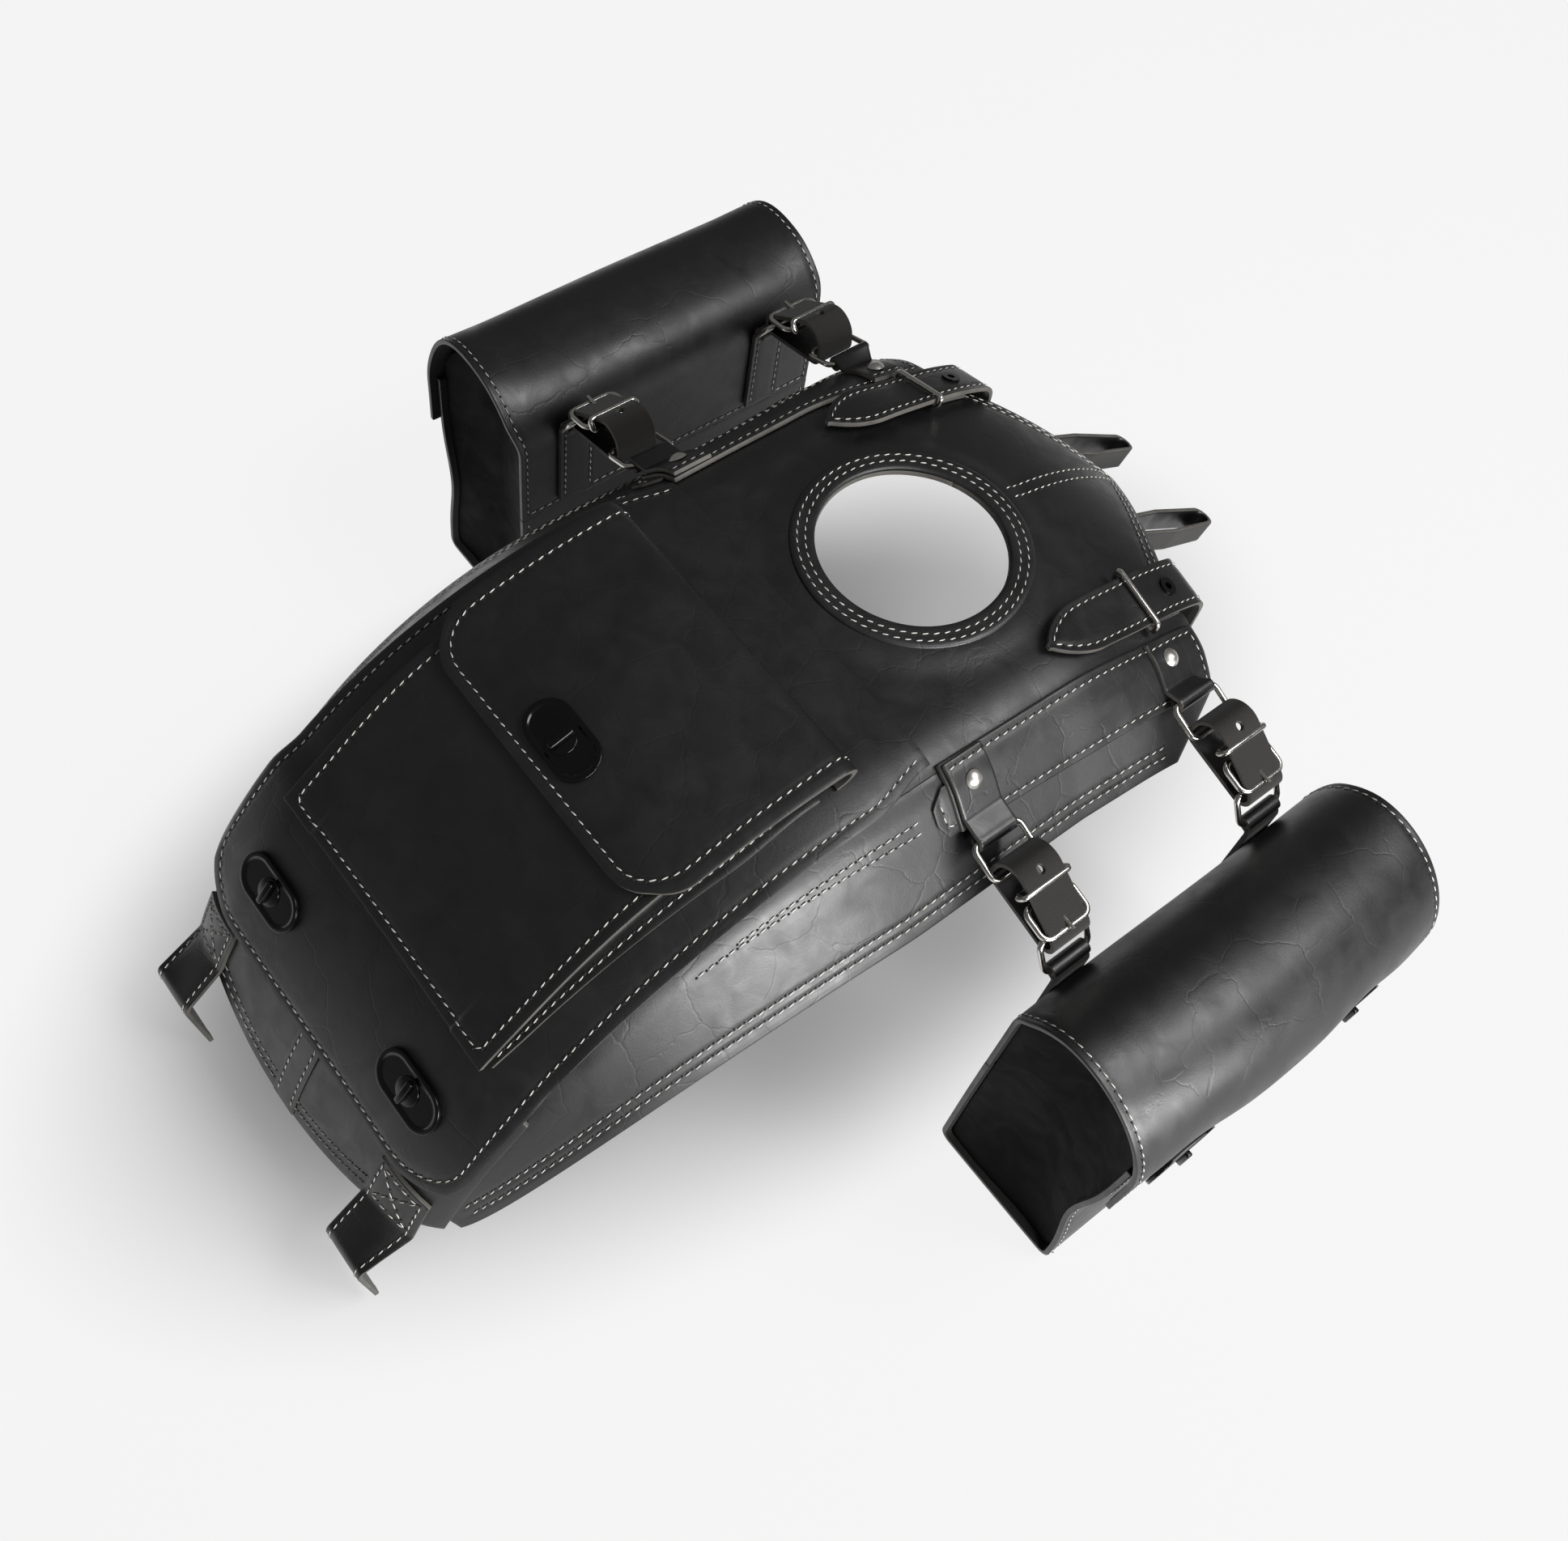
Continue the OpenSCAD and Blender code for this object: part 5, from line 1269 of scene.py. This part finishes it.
apron()
collar()
bands()
band_tails()
shoulder_tabs()
front_straps()
front_loops()
rear_straps()
main_flap()
map_pocket()
pocket_cover()
locks()
bags()

# Rigid nodes of the CAD that stay, with their metal
for metal, nodes in (
        (RIVET_NICKEL, ["band_rivets"]),
        (NICKEL, ["right_rear_prong", "right_front_prong", "left_rear_prong", "left_front_prong"]),
        (ENAMEL, ["front_eyelets", "rear_strikes", "pocket_strike", "right_bag_strikes", "left_bag_strikes"])):
    for node in nodes:
        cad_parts[node].data.materials.clear()
        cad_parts[node].data.materials.append(metal)


# Stage, in metres
FLOOR_Z = (BAG_BOTTOM - 1.4) * MM
AIM = Vector((0, -0.05, -0.1))
LAMPS = (("window", (1.75, -0.12, 0.4), (1.3, 0.45), 44), ("sky", (0.92, 0.62, 1.6), (1.0, 0.8), 22))
EYE_PLACE = Vector((0.310, -0.430, 0.628))
EYE_AXES = ((0.61914597, 0.77564775, 0.12259217), (-0.71105987, 0.4875076, 0.5066855),
            (0.33324485, -0.40088265, 0.85337036))


def worked(tree, kind, operation, *values):
    """Result of a node that works on its values."""
    return add(tree, kind, dict(enumerate(values)), operation=operation).outputs


def floor_finish():
    """Pale floor whose glow to the eye and in reflections is a painted pool of light round the object that fades far
    off; below the apron a mask fades the glow out as a painted shadow over the floor's real shadow.
    """
    made, surface, tree, place = finish("pale_floor", {"Base Color": linear("#f7f7f7"), "Roughness": 0.9,
                                                       "Specular IOR Level": 0.1})
    ray = add(tree, "LightPath").outputs
    seen = worked(tree, "Math", "MAXIMUM", ray["Is Camera Ray"], ray["Is Glossy Ray"])[0]
    seen = worked(tree, "Math", "MAXIMUM", seen, ray["Is Transmission Ray"])[0]
    # Painted shadow: an ellipse round the apron's footprint fades the floor's glow out below the object.
    under = worked(tree, "VectorMath", "ADD", place, (0.03, 0.07, 0))[0]
    under = worked(tree, "VectorMath", "MULTIPLY", under, (1 / 0.21, 1 / 0.4, 0))[0]
    under = worked(tree, "VectorMath", "LENGTH", under)["Value"]
    # Painted pool of light: the glow fades out with distance from a point beside the object.
    light_pool_distance = worked(tree, "VectorMath", "DISTANCE", place, (-0.2, 0.35, 0))["Value"]
    for share in (ranged(tree, under, 0.65, 1.2, 0.1, 0.9, interpolation_type="SMOOTHSTEP"),
                  ranged(tree, light_pool_distance, 0.98, 1.4, 1.0, 0.0, interpolation_type="SMOOTHSTEP")):
        seen = worked(tree, "Math", "MULTIPLY", seen, share)[0]
    glow = add(tree, "Emission", {"Color": linear("#fbfbfb"), "Strength": 1.0})
    mixed = add(tree, "MixShader", {0: seen, 1: surface.outputs[0], 2: glow.outputs[0]})
    output = next(n for n in tree.nodes if n.type == "OUTPUT_MATERIAL")
    tree.links.new(mixed.outputs[0], output.inputs["Surface"])
    return made


def stage():
    """Floor, soft light and the camera of the photo."""
    scene = bpy.context.scene
    bm = bmesh.new()
    bmesh.ops.create_grid(bm, x_segments=1, y_segments=1, size=6)
    bmesh.ops.translate(bm, verts=bm.verts, vec=(0, 0, FLOOR_Z))
    floor = put("floor", mesh_of("floor", bm))
    floor.data.materials.append(floor_finish())
    scene.world = bpy.data.worlds.new("studio")
    scene.world.use_nodes = True
    sky = scene.world.node_tree.nodes["Background"].inputs
    sky["Color"].default_value = linear("#ffffff")
    sky["Strength"].default_value = 0.13
    unlit = bpy.data.collections.new("unlit_by_window")
    unlit.objects.link(floor)
    unlit.collection_objects[0].light_linking.link_state = "EXCLUDE"
    for name, place, size, power in LAMPS:
        light = bpy.data.lights.new(name, "AREA")
        light.shape, light.size, light.size_y, light.energy = "RECTANGLE", *size, power
        lamp = put(name, light)
        lamp.location = place
        lamp.rotation_euler = (AIM - Vector(place)).to_track_quat("-Z", "Y").to_euler()
        if name == "window":
            lamp.light_linking.receiver_collection = unlit
    lens = bpy.data.cameras.new("photo_view")
    lens.lens, lens.sensor_width, lens.sensor_fit = 36.914, 36, "HORIZONTAL"
    scene.camera = put("photo_view", lens)
    turn = Matrix(EYE_AXES).transposed().to_4x4()
    turn.translation = EYE_PLACE
    scene.camera.matrix_world = turn
    scene.view_settings.view_transform = "Standard"


stage()
